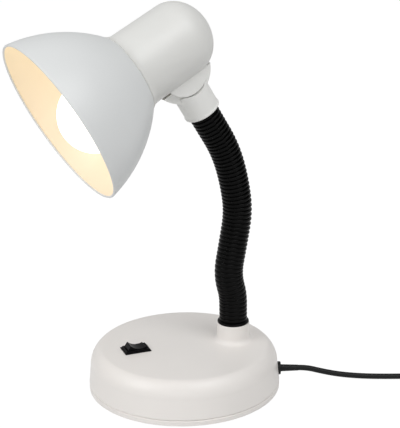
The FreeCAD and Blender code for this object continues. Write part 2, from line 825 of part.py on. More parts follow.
def coil_direction(turns):
    """The coil's tangent, level and square to the radius wherever the spiral reverses."""
    step = 1e-4
    ahead = coil_point(turns + step) if turns + step <= coil_turns else coil_point(turns)
    behind = coil_point(turns - step) if turns > step else coil_point(turns)
    return (ahead - behind).normalize()


def biarc(start, start_direction, end, end_direction):
    """Two tangent arcs between two points with given directions."""
    across = end - start
    both = start_direction + end_direction
    bend = 2 * (1 - start_direction.dot(end_direction))
    reach = (math.sqrt(across.dot(both) ** 2 + bend * across.dot(across)) - across.dot(both)) / bend
    first_corner = start + start_direction * reach
    last_corner = end - end_direction * reach
    joint = (first_corner + last_corner) * 0.5
    arcs = []
    for a, tip, b in ((start, first_corner, joint), (joint, last_corner, end)):
        base = (a + b) * 0.5
        slant = (base - a).Length / (tip - a).Length
        arcs.append(Part.Arc(a, base + (tip - base) * (slant / (1 + slant)), b).toShape())
    return arcs


coil_start = coil_point(0)
into_coil = coil_direction(0)
piece("mains_cord", cord_along("mains_cord", on_table([
    (relief_end, 0, gland_z),
    (relief_end + 6.7, 0, gland_z),
    (relief_end + 18, -0.3, 9.5),
    (relief_end + 32, 0.3, 6.2),
    (relief_end + 50, 0.9, 4.0),
    (relief_end + 70, 1.7, 3.0),
    (relief_end + 90, 2.3, 2.7),
    tuple(coil_start - into_coil * 18),
    tuple(coil_start),
]), number_of(of["cord_dia"])))

quarter_marks = [count / 4 for count in range(int(coil_turns * 4) + 1)]
coil_edges = []
for here, there in zip(quarter_marks, quarter_marks[1:]):
    coil_edges += biarc(
        coil_point(here), coil_direction(here), coil_point(there), coil_direction(there)
    )
coil_wire = Part.Wire(coil_edges)
coil_solid = swept_round(coil_wire, coil_point(0), coil_direction(0), number_of(of["cord_dia"]))
coil_solid.Placement = cord_frame
piece("mains_cord_coil", free_shape("mains_cord_coil", coil_solid))
print("coil length", round(coil_wire.Length, 1), "volume over section times length", round(
    coil_solid.Volume / (math.pi * cord_radius ** 2 * coil_wire.Length), 4))


def least_gap_to_itself():
    """Least clear distance between turns, on points along the coil."""
    marks = [count / 48 for count in range(int(coil_turns * 48) + 1)]
    points = [coil_point(mark) for mark in marks]
    least = 1e9
    for index, point in enumerate(points):
        for other in points[index + 24:]:
            least = min(least, (other - point).Length)
    return least - number_of(of["cord_dia"])


print("least gap of the coil to itself", round(least_gap_to_itself(), 2))

coil_end = coil_point(coil_turns)
out_of_coil = coil_direction(coil_turns)
plug_half = number_of(of["plug_height"]) / 2
plug_x = coil_end.x + 3
plug_y = coil_end.y + 74
piece("mains_cord_tail", cord_along("mains_cord_tail", on_table([
    tuple(coil_end),
    tuple(coil_end + out_of_coil * 11),
    (coil_end.x + 0.5, coil_end.y + 29, coil_end.z - 6.5),
    (coil_end.x + 1.8, coil_end.y + 48, 5.2),
    (plug_x, coil_end.y + 63, plug_half),
    (plug_x, plug_y, plug_half),
]), number_of(of["cord_dia"])))

# Plug: a flat two-pin moulding, wide at its face and narrow at the cord.
plug_place = cord_frame * at(x=plug_x, y=plug_y, z=plug_half)
half_plug = of["plug_width"] / 2
cord_half = of["cord_dia"] / 2 + 1.2
plug_plate = padded("plug_plate", "XY_Plane", [
    corner(cord_half, 0),
    corner(cord_half + 1.5, of["plug_length"] / 3, of["plug_length"] * 0.6, "right"),
    corner(half_plug - 1.5, of["plug_length"] * 0.7),
    corner(half_plug, of["plug_length"] * 0.85),
    corner(half_plug - 3, of["plug_length"]),
    corner(-(half_plug - 3), of["plug_length"]),
    corner(-half_plug, of["plug_length"] * 0.85),
    corner(-(half_plug - 1.5), of["plug_length"] * 0.7, of["plug_length"] * 0.6, "right"),
    corner(-(cord_half + 1.5), of["plug_length"] / 3),
    corner(-cord_half, 0),
], of["plug_height"])
plug_side = padded("plug_side", "YZ_Plane", [
    corner(0, -cord_half),
    corner(0, cord_half),
    corner(of["plug_length"] / 3, cord_half + 1.0),
    corner(of["plug_length"] * 0.7, of["plug_height"] / 2),
    corner(of["plug_length"], of["plug_height"] / 2),
    corner(of["plug_length"], of["plug_height"] / -2),
    corner(of["plug_length"] * 0.7, of["plug_height"] / -2),
    corner(of["plug_length"] / 3, -(cord_half + 1.0)),
], of["plug_width"] + 2 * OVER)
plug_body = common("plug_body", plug_plate, plug_side)
plug_body.Placement = plug_place
piece("plug_body", plug_body)
piece("plug_pins", group("plug_pins", *[
    cylinder(
        f"plug_pin_{count}", of["pin_dia"], of["pin_length"],
        plug_place * at(x=of["pin_spacing"] * side / 2, y=of["plug_length"]) * ALONG_Y,
    )
    for count, side in enumerate((-1, 1))
]))

# Coil tie: a strap round the coil's section, on the side away from the lamp.
tie_turn = 0.25 + 1 / 8
tie_angle = 360 * tie_turn - 90
tie_across = (outer_radius - coil_radius + turn_pitch) * 2
tie_rise = turn_pitch * (LAYERS - 1) + number_of(of["cord_dia"])
tie_place = (
    cord_frame
    * at(coil_x, coil_y, 0)
    * turned(Vector(0, 0, 1), tie_angle)
    * at(x=coil_radius)
)
tie_wall = number_of(of["tie_wall"])
tie_inside = Part.makeBox(
    tie_across, number_of(of["tie_width"]) + 2 * OVER, tie_rise + 0.2,
    Vector(-tie_across / 2, -number_of(of["tie_width"]) / 2 - OVER, tie_wall),
)
tie_outside = Part.makeBox(
    tie_across + 2 * tie_wall, number_of(of["tie_width"]), tie_rise + 0.2 + 2 * tie_wall,
    Vector(-tie_across / 2 - tie_wall, -number_of(of["tie_width"]) / 2, 0),
)
coil_tie = free_shape("coil_tie", tie_outside.cut(tie_inside))
coil_tie.Placement = tie_place
piece("coil_tie", coil_tie)

# Neck frame: X sideways, Y backwards and Z up from the table, on the boss's axis, turned with
# the neck's plane. The centre line lies in its YZ plane.
neck_frame = boss_place * turned(Vector(0, 0, 1), of["neck_angle"])
BENDS = 6
neck_runs = [(number_of(of["neck_run"]), 0.0)]
for count in range(1, BENDS + 1):
    neck_runs.append((number_of(of[f"bend_{count}"]), number_of(of[f"lean_angle_{count}"])))
neck_runs.append((number_of(of["neck_end_run"]), number_of(of[f"lean_angle_{BENDS}"])))
neck_length = sum(length for length, _ in neck_runs)
neck_start = number_of(boss_top + of["foot_ring"])


def neck_place(distance):
    """Frame on the centre line at a distance from the foot ring, its Z along the neck."""
    y = 0.0
    z = neck_start
    lean = 0.0
    left = distance
    for length, lean_degrees in neck_runs:
        end_lean = math.radians(lean_degrees)
        run = min(left, length)
        if run > 0:
            here = lean + (end_lean - lean) * run / length
            bend = (end_lean - lean) / length
            if abs(bend) < 1e-9:
                y -= math.sin(lean) * run
                z += math.cos(lean) * run
            else:
                y += (math.cos(here) - math.cos(lean)) / bend
                z += (math.sin(here) - math.sin(lean)) / bend
            lean = here
        left -= length
        if left <= 0:
            break
    return Placement(Vector(0, y, z), Rotation(Vector(1, 0, 0), math.degrees(lean)))


rib_pitch = neck_length / (RIBS_AT_FOOT + LINKS * RIBS_PER_LINK + RIBS_AT_COLLAR)
hinge_marks = [rib_pitch * (RIBS_AT_FOOT + RIBS_PER_LINK * count) for count in range(LINKS + 1)]
hinges = [neck_place(mark).Base for mark in hinge_marks]
for count, mark in enumerate(hinge_marks, start=1):
    spot = neck_frame * neck_place(mark)
    print("neck hinge", count, [round(v, 3) for v in spot.Base],
          "side axis", [round(v, 5) for v in spot.Rotation.multVec(Vector(1, 0, 0))],
          "roll axis", [round(v, 5) for v in spot.Rotation.multVec(Vector(0, 1, 0))])


def aimed(start, end):
    """Frame at start in the neck's plane, its Z towards end."""
    along = end - start
    lean = math.degrees(math.atan2(-along.y, along.z))
    return neck_frame * Placement(start, Rotation(Vector(1, 0, 0), lean))


# Foot ring, washer and nut clamp the neck's threaded stem in the boss.
ring_bore = of["core_dia"] + 0.1
piece("neck_foot_ring", cut(
    "neck_foot_ring",
    cylinder("foot_ring_disc", of["foot_ring_dia"], of["foot_ring"], neck_frame * at(z=boss_top)),
    cylinder("foot_ring_bore", ring_bore, of["foot_ring"], neck_frame * at(z=boss_top)),
))
washer_bottom = inner_top - of["washer"]
piece("neck_washer", cut(
    "neck_washer",
    cylinder("washer_disc", of["nut_dia"] - 1, of["washer"], neck_frame * at(z=washer_bottom)),
    cylinder("washer_bore", ring_bore, of["washer"], neck_frame * at(z=washer_bottom)),
))
nut_prism = doc.addObject("Part::Prism", "nut_prism")
nut_prism.Polygon = 6
bind(nut_prism, "Circumradius", of["nut_dia"] / 2)
bind(nut_prism, "Height", of["nut_height"])
nut_prism.Placement = neck_frame * at(z=washer_bottom - of["nut_height"])
piece("neck_nut", cut(
    "neck_nut",
    nut_prism,
    cylinder("nut_bore", ring_bore, of["nut_height"], nut_prism.Placement),
))


# Gooseneck core: links with a ball on top and a socket below, on the hinges' middles.
def core_piece(label, start, end, below, above, socket, ball_on_top):
    """One link from below its start to above its end, both along its own axis."""
    place = aimed(start, end)
    length = (end - start).Length
    barrel = cylinder(
        label + "_barrel", of["core_dia"], below + Size(repr(length), length) + above,
        place * at(z=-number_of(below)),
    )
    solids = [barrel]
    if ball_on_top:
        solids.append(ball(label + "_ball", of["ball_dia"], place * at(z=length)))
    tools = [cylinder(
        label + "_bore", of["core_bore"], below + Size(repr(length), length) + of["ball_dia"] * 2,
        place * at(z=-number_of(below)),
    )]
    if socket:
        tools.append(ball(label + "_socket", of["ball_dia"] + of["ball_gap"] * 2, place))
    body = fused(label + "_solid", *solids) if ball_on_top else barrel
    return piece(label, cut(label, body, *tools))


shoulder = of["skirt"] + of["link_gap"]
foot_start = neck_place(0).Base
core_piece(
    "neck_core_foot", foot_start, hinges[0], of["stem_length"] + of["foot_ring"],
    -shoulder, False, True,
)
for count in range(LINKS):
    core_piece(
        f"neck_core_{count + 1}", hinges[count], hinges[count + 1], of["skirt"],
        -shoulder, True, True,
    )
neck_end = neck_place(neck_length)
core_piece(
    "neck_core_top", hinges[LINKS], neck_end.Base, of["skirt"], of["stem_seat"] - 0.1, True, False,
)


# Sleeve: a black ribbed tube, in one length per link, each rib lofted through four rings.
RIB_SHAPE = ((0.10, 0), (0.27, 1), (0.73, 1), (0.90, 0))


def ring_wire(distance, radius):
    place = neck_frame * neck_place(distance)
    circle = Part.makeCircle(radius)
    circle.Placement = place
    return Part.Wire(circle)


def sleeve_radius(distance):
    grown = number_of(of["sleeve_growth"]) * distance / neck_length
    return (number_of(of["sleeve_dia"]) + grown) / 2


def sleeve(label, first_rib, ribs):
    """Ribs of one length of sleeve, and its bore."""
    rings = []
    depth = number_of(of["rib_depth"])
    for rib in range(first_rib, first_rib + ribs):
        for share, crest in RIB_SHAPE:
            distance = (rib + share) * rib_pitch
            rings.append(ring_wire(distance, sleeve_radius(distance) - depth * (1 - crest)))
    outside = Part.makeLoft(rings, True, True)
    bore = number_of(of["sleeve_bore"]) / 2
    inside = Part.makeLoft(
        [ring_wire((first_rib + step) * rib_pitch, bore) for step in range(ribs + 1)], True, True
    )
    return piece(label, free_shape(label, outside.cut(inside)))


sleeve("neck_sleeve_foot", 0, RIBS_AT_FOOT)
for count in range(LINKS):
    sleeve(f"neck_sleeve_{count + 1}", RIBS_AT_FOOT + RIBS_PER_LINK * count, RIBS_PER_LINK)
sleeve("neck_sleeve_top", RIBS_AT_FOOT + RIBS_PER_LINK * LINKS, RIBS_AT_COLLAR)

# Collar: a white cup on the neck's end, hollowed for the cheeks, with the knuckle's tongue.
collar_place = neck_frame * neck_end
bolt_place = collar_place * at(z=of["knuckle_height"])
collar_wall = cut(
    "collar_wall",
    fused(
        "collar_cup",
        cylinder("collar_barrel", of["collar_dia"], of["collar_height"], collar_place),
        cylinder(
            "collar_lip", of["collar_dia"] + of["collar_rim"] * 2, of["collar_rim_height"],
            collar_place,
        ),
    ),
    middle_cylinder(
        "collar_saddle", of["cheek_dia"] + of["cheek_gap"] * 2, of["collar_dia"] + 2 * OVER,
        bolt_place,
    ),
)
tongue_round = cut(
    "tongue_round",
    middle_cylinder("tongue_disc", of["tongue_dia"], of["tongue_width"], bolt_place),
    block(
        "tongue_trim", of["tongue_width"] + 2 * OVER, of["tongue_dia"] + 2 * OVER, of["tongue_dia"],
        bolt_place * at(z=-of["tongue_top"]),
    ),
)
tongue_web = block(
    "tongue_web", of["tongue_width"], of["eye_dia"], of["tongue_top"] + OVER,
    bolt_place * at(z=-(of["tongue_top"] + OVER)),
)
tongue_eye = middle_cylinder("tongue_eye", of["eye_dia"], of["tongue_width"], bolt_place)
piece("neck_collar", cut(
    "neck_collar",
    fused("collar_solid", collar_wall, tongue_round, tongue_web, tongue_eye),
    cylinder("collar_bore", of["core_dia"] + 0.1, of["stem_seat"], collar_place),
    middle_cylinder(
        "tongue_hole", of["bolt_dia"] + 0.1, of["tongue_width"] + 2 * OVER, bolt_place
    ),
))

# Head frame: X sideways, Y backwards along the head's axis from the mouth, Z up across it.
bolt_in_neck = neck_end.multVec(Vector(0, 0, number_of(of["knuckle_height"])))
head_tilt = Rotation(Vector(1, 0, 0), number_of(of["head_angle"]))
bolt_in_head = Vector(0, number_of(of["bolt_back"]), -number_of(of["bolt_drop"]))
head_frame = neck_frame * Placement(bolt_in_neck - head_tilt.multVec(bolt_in_head), head_tilt)
head_turned = head_frame * ALONG_Y
knuckle = head_frame * Placement(bolt_in_head, Rotation())
print("knuckle", [round(v, 3) for v in knuckle.Base],
      "axis", [round(v, 5) for v in knuckle.Rotation.multVec(Vector(1, 0, 0))])

# Housing: a plastic cap with a round end, cheeks for the knuckle and bosses for the screws.
flare_front = of["shade_length"] + 0.1
front_radius = of["housing_front_dia"] / 2
back_radius = of["housing_dia"] / 2
end_one = of["housing_radius"]
end_across = back_radius - end_one * (1 - EIGHTH)
end_along = of["housing_round"] + end_one * EIGHTH
housing_end = of["housing_round"] + of["housing_cap"]
end_two = (housing_end - end_along) / (1 - EIGHTH)
end_flat = end_across - end_two * EIGHTH
housing_wall = of["housing_wall"]
flare_radius = of["shade_back_dia"] / 2
housing_cap = revolved("housing_cap", [
    corner(flare_radius - housing_wall, flare_front),
    corner(flare_radius, flare_front, of["flare_radius"], "right"),
    corner(front_radius, flare_front + of["housing_flare"]),
    corner(back_radius, of["housing_round"], end_one, "left"),
    corner(end_across, end_along, end_two, "left"),
    corner(end_flat, housing_end),
    corner(0, housing_end),
    corner(0, housing_end - housing_wall),
    corner(end_flat, housing_end - housing_wall, end_two - housing_wall, "right"),
    corner(
        end_across - housing_wall * EIGHTH, end_along - housing_wall * EIGHTH,
        end_one - housing_wall, "right",
    ),
    corner(back_radius - housing_wall, of["housing_round"]),
    corner(front_radius - housing_wall, flare_front + of["housing_flare"]),
], head_turned)
cheek_inner = of["tongue_width"] / 2 + of["knuckle_play"]
cheek_top = 6.5
cheeks = []
for name, side in (("left_cheek", -1), ("right_cheek", 1)):
    middle = number_of(cheek_inner + of["cheek_width"] / 2) * side
    cheeks.append(cut(
        name,
        middle_cylinder(name + "_disc", of["cheek_dia"], of["cheek_width"], knuckle * at(x=middle)),
        block(
            name + "_trim", of["cheek_width"] + 2 * OVER, of["cheek_dia"], of["cheek_dia"],
            knuckle * at(x=middle, z=cheek_top),
        ),
    ))
holder_axis = (
    head_frame
    * at(y=of["globe_back"], z=-of["globe_drop"])
    * turned(Vector(1, 0, 0), of["holder_tilt"])
    * ALONG_Y
)
tilt = math.radians(number_of(of["holder_tilt"]))
hole_drop = of["globe_drop"] - (of["shade_length"] - of["globe_back"]) * math.tan(tilt)
ear_back = flare_front + of["bracket_sheet"]
screw_places = [
    head_frame * at(x=of["shade_screw_offset"] * side, z=-hole_drop) for side in (-1, 1)
]
screw_bosses = [
    cylinder(
        f"screw_boss_{count}", of["screw_boss_dia"], of["shade_screw_length"] + 2,
        place * at(y=ear_back) * ALONG_Y,
    )
    for count, place in enumerate(screw_places)
]
boss_holes = [
    cylinder(
        f"boss_hole_{count}", of["shade_screw_dia"], of["shade_screw_length"],
        place * at(y=ear_back - OVER) * ALONG_Y,
    )
    for count, place in enumerate(screw_places)
]
knuckle_slot = middle_cylinder(
    "knuckle_slot", of["tongue_dia"] + of["cheek_gap"] * 2, cheek_inner * 2, knuckle
)
bolt_hole = middle_cylinder(
    "bolt_hole", of["bolt_dia"] + 0.1, of["housing_dia"] / 2 + 6, knuckle
)
cheek_outer = cheek_inner + of["cheek_width"]
head_recesses = [
    cylinder(
        f"bolt_recess_{count}", of["bolt_head_dia"] + 0.6, of["bolt_head_height"] + 4,
        knuckle * turned(Vector(0, 1, 0), 90 * side) * at(z=cheek_outer - of["bolt_head_height"]),
    )
    for count, side in enumerate((-1, 1))
]
housing_space = revolved("housing_space", [
    corner(0, flare_front),
    corner(front_radius - housing_wall / 2, flare_front),
    corner(front_radius - housing_wall / 2, of["housing_round"]),
    corner(0, of["housing_round"]),
], head_turned)
piece("head_housing", cut(
    "head_housing",
    fused(
        "housing_solid",
        housing_cap,
        *cheeks,
        common("screw_bosses", group("boss_pair", *screw_bosses), housing_space),
    ),
    knuckle_slot, bolt_hole, *head_recesses, *boss_holes,
))

# Knuckle bolt with its nut, and a friction washer on each side of the tongue.
bolt_reach = cheek_outer * 2 - of["bolt_head_height"]
bolt_shank = cylinder(
    "bolt_shank", of["bolt_dia"], bolt_reach,
    knuckle * at(x=-cheek_outer) * ALONG_X,
)
bolt_cap = cylinder(
    "bolt_cap", of["bolt_head_dia"], of["bolt_head_height"],
    knuckle * at(x=cheek_outer - of["bolt_head_height"]) * ALONG_X,
)
piece("knuckle_bolt", fused("knuckle_bolt", bolt_shank, bolt_cap))
knuckle_prism = doc.addObject("Part::Prism", "knuckle_prism")
knuckle_prism.Polygon = 6
bind(knuckle_prism, "Circumradius", of["bolt_head_dia"] / 2)
bind(knuckle_prism, "Height", of["bolt_head_height"])
knuckle_prism.Placement = knuckle * at(x=-cheek_outer) * ALONG_X
piece("knuckle_nut", cut(
    "knuckle_nut",
    knuckle_prism,
    cylinder("knuckle_nut_bore", of["bolt_dia"] + 0.05, of["bolt_head_height"], knuckle_prism.Placement),
))
washer_sheet = of["knuckle_play"] - 0.04
washer_solids = []
for count, side in enumerate((-1, 1)):
    place = knuckle * turned(Vector(0, 1, 0), 90 * side) * at(z=of["tongue_width"] / 2 + 0.02)
    washer_solids.append(cut(
        f"friction_washer_{count}",
        cylinder(f"friction_disc_{count}", of["eye_dia"] - 1, washer_sheet, place),
        cylinder(f"friction_bore_{count}", of["bolt_dia"] + 0.1, washer_sheet, place),
    ))
piece("friction_washers", group("friction_washers", *washer_solids))

# Shade: a spun metal bell with a rolled edge, closed at the back by a flange with a hole.
mouth_radius = of["mouth_dia"] / 2
sheet_metal = of["shade_sheet"]
shade_bell = revolved("shade_bell", [
    corner(mouth_radius, 0, of["shade_radius"], "left"),
    corner(flare_radius, of["shade_length"]),
    corner(0, of["shade_length"]),
    corner(0, of["shade_length"] - sheet_metal),
    corner(
        flare_radius - sheet_metal * 0.6, of["shade_length"] - sheet_metal,
        of["shade_radius"] - sheet_metal, "right",
    ),
    corner(mouth_radius - sheet_metal * 1.04, 0),
], head_turned)
shade_edge = ring(
    "shade_edge", of["mouth_dia"] - of["bead"], of["bead"], head_turned * at(z=of["bead"] * 0.6)
)
holder_hole = cylinder(
    "holder_hole", of["shade_hole_dia"], sheet_metal * 3,
    head_frame * at(y=of["shade_length"] - sheet_metal * 2, z=-hole_drop) * ALONG_Y,
)
shade_screw_holes = [
    cylinder(
        f"shade_screw_hole_{count}", of["shade_screw_dia"] + 0.4, sheet_metal * 3,
        place * at(y=of["shade_length"] - sheet_metal * 2) * ALONG_Y,
    )
    for count, place in enumerate(screw_places)
]
piece("lamp_shade", cut(
    "lamp_shade", fused("shade_metal", shade_bell, shade_edge), holder_hole, *shade_screw_holes
))
shade_screw_pair = []
for count, place in enumerate(screw_places):
    head_seat = place * at(y=of["shade_length"] - sheet_metal - of["shade_screw_head_height"]) * ALONG_Y
    shade_screw_pair.append(fused(
        f"shade_screw_{count}",
        cylinder(
            f"shade_screw_head_{count}", of["shade_screw_head_dia"], of["shade_screw_head_height"],
            head_seat,
        ),
        cylinder(
            f"shade_screw_shank_{count}", of["shade_screw_dia"] - 0.1, of["shade_screw_length"],
            head_seat * at(z=of["shade_screw_head_height"]),
        ),
    ))
piece("shade_screws", group("shade_screws", *shade_screw_pair))

# Holder bracket: a bent strip whose ears sit under the shade screws.
holder_back = of["holder_front"] + of["holder_length"]
arm_front = (of["shade_length"] - of["globe_back"]) * math.cos(tilt)
arm_length = holder_back - arm_front
arm_offset = (of["bracket_width"] - of["bracket_sheet"]) / 2
bracket_arms = [
    block(
        f"bracket_arm_{count}", of["bracket_sheet"], of["bracket_height"], arm_length,
        holder_axis * at(x=arm_offset * side, z=arm_front),
    )
    for count, side in enumerate((-1, 1))
]
bracket_back = block(
    "bracket_back", of["bracket_width"], of["bracket_height"], of["bracket_sheet"],
    holder_axis * at(z=holder_back),
)
ear_width = 8.6
bracket_ears = [
    block(
        f"bracket_ear_{count}", Size(str(ear_width), ear_width), of["bracket_sheet"],
        of["bracket_height"],
        head_frame * at(
            x=(of["bracket_width"] / 2 - of["bracket_sheet"] + ear_width / 2) * side,
            y=flare_front + of["bracket_sheet"] / 2,
            z=-hole_drop - of["bracket_height"] / 2,
        ),
    )
    for count, side in enumerate((-1, 1))
]
bracket_trim = block(
    "bracket_trim", of["mouth_dia"], of["shade_length"], of["mouth_dia"],
    head_frame * at(y=flare_front - of["shade_length"] / 2, z=of["mouth_dia"] / -2),
)
ear_holes = [
    cylinder(
        f"ear_hole_{count}", of["shade_screw_dia"] + 0.4, of["bracket_sheet"] * 4,
        place * at(y=of["shade_length"] - of["bracket_sheet"]) * ALONG_Y,
    )
    for count, place in enumerate(screw_places)
]
piece("holder_bracket", cut(
    "holder_bracket",
    fused("bracket_strip", *bracket_arms, bracket_back, *bracket_ears),
    bracket_trim, *ear_holes,
))

# Lamp holder with its thread shell and centre contact.
holder_floor = 4.0
piece("lamp_holder", cut(
    "lamp_holder",
    cylinder(
        "holder_barrel", of["holder_dia"], of["holder_length"],
        holder_axis * at(z=of["holder_front"]),
    ),
    cylinder(
        "holder_inside", of["holder_bore"], of["holder_length"] - holder_floor,
        holder_axis * at(z=of["holder_front"]),
    ),
))
thread_outside = of["thread_dia"] + of["thread_sheet"] * 2
thread_front = of["cap_front"] + 2
thread_length = of["cap_length"] - 1
piece("thread_shell", cut(
    "thread_shell",
    cylinder("thread_tube", thread_outside, thread_length, holder_axis * at(z=thread_front)),
    cylinder("thread_bore", of["thread_dia"], thread_length, holder_axis * at(z=thread_front)),
))
tip_end = of["cap_front"] + of["cap_length"] + of["tip_length"]
piece("centre_contact", cylinder(
    "centre_contact", of["cap_dia"] / 4, holder_back - holder_floor - tip_end,
    holder_axis * at(z=tip_end),
))

# Bulb: frosted glass, screw cap and the tip on its black glass.
globe_radius = of["globe_dia"] / 2
break_radius = math.sqrt(number_of(globe_radius) ** 2 - number_of(of["globe_break"]) ** 2)
glass_end_radius = of["cap_dia"] / 2 - 0.2
piece("bulb_globe", revolved("bulb_globe", [
    corner(0, -globe_radius, globe_radius, "left"),
    corner(Size(repr(break_radius), break_radius), of["globe_break"],
           of["bulb_shoulder_radius"], "right"),
    corner(glass_end_radius, of["cap_front"]),
    corner(0, of["cap_front"]),
], holder_axis))
cap_back = of["cap_front"] + of["cap_length"]
piece("bulb_cap", cylinder(
    "bulb_cap", of["cap_dia"], of["cap_length"], holder_axis * at(z=of["cap_front"])
))
piece("bulb_tip", revolved("bulb_tip", [
    corner(0, cap_back),
    corner(of["cap_dia"] * 0.4, cap_back),
    corner(of["cap_dia"] * 0.18, tip_end - 0.6),
    corner(of["cap_dia"] * 0.18, tip_end),
    corner(0, tip_end),
], holder_axis))

# Recompute, look every object over, and write one file per sub-part.
doc.recompute()
for thing in doc.Objects:
    if "Invalid" in thing.State or "Error" in thing.State:
        raise RuntimeError(f"{thing.Label} failed: {thing.State}")
os.makedirs("parts", exist_ok=True)
for thing in pieces:
    if thing.Shape.isNull() or not thing.Shape.isValid():
        raise RuntimeError(f"{thing.Label} has no valid shape")
for thing in pieces:
    thing.Shape.exportStep(f"parts/{thing.Label}.step")
print(len(pieces), "sub-parts")
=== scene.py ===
import math
import bmesh
import bpy
from mathutils import Matrix, Vector


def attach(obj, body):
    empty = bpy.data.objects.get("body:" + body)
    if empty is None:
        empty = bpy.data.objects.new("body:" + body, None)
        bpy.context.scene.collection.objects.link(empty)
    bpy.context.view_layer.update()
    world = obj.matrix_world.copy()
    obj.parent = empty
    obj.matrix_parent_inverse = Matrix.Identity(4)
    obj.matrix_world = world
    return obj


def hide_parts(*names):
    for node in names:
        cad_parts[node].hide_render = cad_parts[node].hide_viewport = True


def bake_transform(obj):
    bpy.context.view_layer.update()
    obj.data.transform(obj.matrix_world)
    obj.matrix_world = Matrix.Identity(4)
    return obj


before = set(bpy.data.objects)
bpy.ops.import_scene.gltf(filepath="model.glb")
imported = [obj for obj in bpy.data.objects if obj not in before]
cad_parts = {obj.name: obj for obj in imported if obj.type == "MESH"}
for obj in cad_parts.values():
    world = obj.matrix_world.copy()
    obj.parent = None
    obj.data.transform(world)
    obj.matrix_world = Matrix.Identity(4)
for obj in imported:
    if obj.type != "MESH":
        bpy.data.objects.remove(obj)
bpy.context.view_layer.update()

# Base shell: a dish turned upside down, injection-moulded in warm white plastic, with soft
# shoulders and a boss for the neck. The switch and the gland snap into openings in it.
MM = 0.001
SIN_45 = math.sqrt(0.5)
base_radius = 75.0
seam_height = 5.1
seam_chamfer = 0.75
wall = 2.2
shoulder_radius = 73.5
shoulder_height = 20.5
shoulder_round = 16.0
base_top = 34.0
boss_back = 40.4
boss_radius = 12.8
boss_top = 48.7
boss_fillet = 4.0
boss_edge = 0.7
stem_hole_radius = 8.2
switch_back = -38.5
switch_turn = 6.0
switch_hole_width = 13.2
switch_hole_length = 19.2
gland_turn = 14.0
gland_height = 12.5
gland_hole_radius = 3.2
flange_back = 73.28
flange_radius = 5.2
flange_seat_radius = 5.3


def at(x=0.0, y=0.0, z=0.0):
    return Matrix.Translation((x, y, z))


def turn(degrees, axis):
    return Matrix.Rotation(math.radians(degrees), 4, axis)


UNMOVED = Matrix()
ALONG_Y = turn(-90, "X")


def bow(outline, end, radius, steps):
    """Carry the outline on to end along an arc; a positive radius bulges to the right."""
    start = Vector(outline[-1])
    end = Vector(end)
    chord = end - start
    right = Vector((chord.y, -chord.x)).normalized()
    drop = math.sqrt(max(radius ** 2 - chord.length ** 2 / 4, 0))
    middle = (start + end) / 2 - right * math.copysign(drop, radius)
    first = math.atan2(start.y - middle.y, start.x - middle.x)
    sweep = math.copysign(2 * math.asin(min(chord.length / 2 / abs(radius), 1)), radius)
    angles = [first + sweep * step / steps for step in range(1, steps + 1)]
    reach = abs(radius)
    outline += [(middle.x + reach * math.cos(a), middle.y + reach * math.sin(a)) for a in angles]


def solid(name, points, faces, place=UNMOVED):
    """A smooth mesh from points in millimetres, turned and moved to its place."""
    mesh = bpy.data.meshes.new(name)
    mesh.from_pydata(points, [], faces)
    made = bmesh.new()
    made.from_mesh(mesh)
    loose = [corner for corner in made.verts if not corner.link_faces]
    bmesh.ops.delete(made, geom=loose, context="VERTS")
    bmesh.ops.recalc_face_normals(made, faces=made.faces)
    made.to_mesh(mesh)
    made.free()
    mesh.transform(Matrix.Scale(MM, 4) @ place)
    mesh.shade_smooth()
    piece = bpy.data.objects.new(name, mesh)
    bpy.context.scene.collection.objects.link(piece)
    return piece


def lathed(name, outline, place=UNMOVED, around=144):
    """Turn a closed outline of (radius, height) points about the place's Z."""
    points = []
    rings = []
    for radius, height in outline:
        count = 1 if radius < 1e-6 else around
        rings.append(range(len(points), len(points) + count))
        for step in range(count):
            angle = 2 * math.pi * step / around
            points.append((radius * math.cos(angle), radius * math.sin(angle), height))
    faces = []
    for index, here in enumerate(rings):
        there = rings[(index + 1) % len(rings)]
        level = outline[index][1] == outline[(index + 1) % len(rings)][1]
        if len(here) == 1 and len(there) == 1:
            continue
        if level and min(len(here), len(there)) == 1:
            faces.append(list(max(here, there, key=len)))
            continue
        for step in range(around):
            following = (step + 1) % around
            if len(here) == 1:
                faces.append((here[0], there[step], there[following]))
            elif len(there) == 1:
                faces.append((here[step], here[following], there[0]))
            else:
                faces.append((here[step], here[following], there[following], there[step]))
    return solid(name, points, faces, place)


def plate(name, corners, low, high, place=UNMOVED):
    """A plate of even thickness from the corners of its outline."""
    count = len(corners)
    points = [(x, y, low) for x, y in corners] + [(x, y, high) for x, y in corners]
    faces = [tuple(range(count)), tuple(range(count, 2 * count))]
    for step in range(count):
        following = (step + 1) % count
        faces.append((step, following, count + following, count + step))
    return solid(name, points, faces, place)


def rod(name, radius, length, place):
    """A plain round cutter or filler that ends up inside another piece."""
    return lathed(name, [(0, 0), (radius, 0), (radius, length), (0, length)], place, 96)


def slab(name, width, depth, low, high, place=UNMOVED):
    x = width / 2
    y = depth / 2
    return plate(name, [(-x, -y), (x, -y), (x, y), (-x, y)], low, high, place)


def settle(piece, sharp=32):
    """Apply the piece's modifiers and keep the edges sharper than an angle crisp."""
    shape = piece.evaluated_get(bpy.context.evaluated_depsgraph_get())
    mesh = bpy.data.meshes.new_from_object(shape)
    piece.modifiers.clear()
    piece.data = mesh
    mesh.shade_smooth()
    mesh.set_sharp_from_angle(angle=math.radians(sharp))
    return piece


def worked(piece, how, tools):
    """Join the tools to the piece or cut them out of it."""
    for tool in tools:
        step = piece.modifiers.new(tool.name, "BOOLEAN")
        step.operation = how
        step.object = tool
        step.solver = "EXACT"
    settle(piece)
    for tool in tools:
        bpy.data.objects.remove(tool)
    return piece


def placed(piece, body, slot, material, *nodes):
    """Ride the piece on its body, dress it, and let it stand for the nodes it replaces."""
    piece.data.materials.clear()
    piece.data.materials.append(material)
    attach(piece, body)
    if nodes:
        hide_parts(*nodes)
    return piece


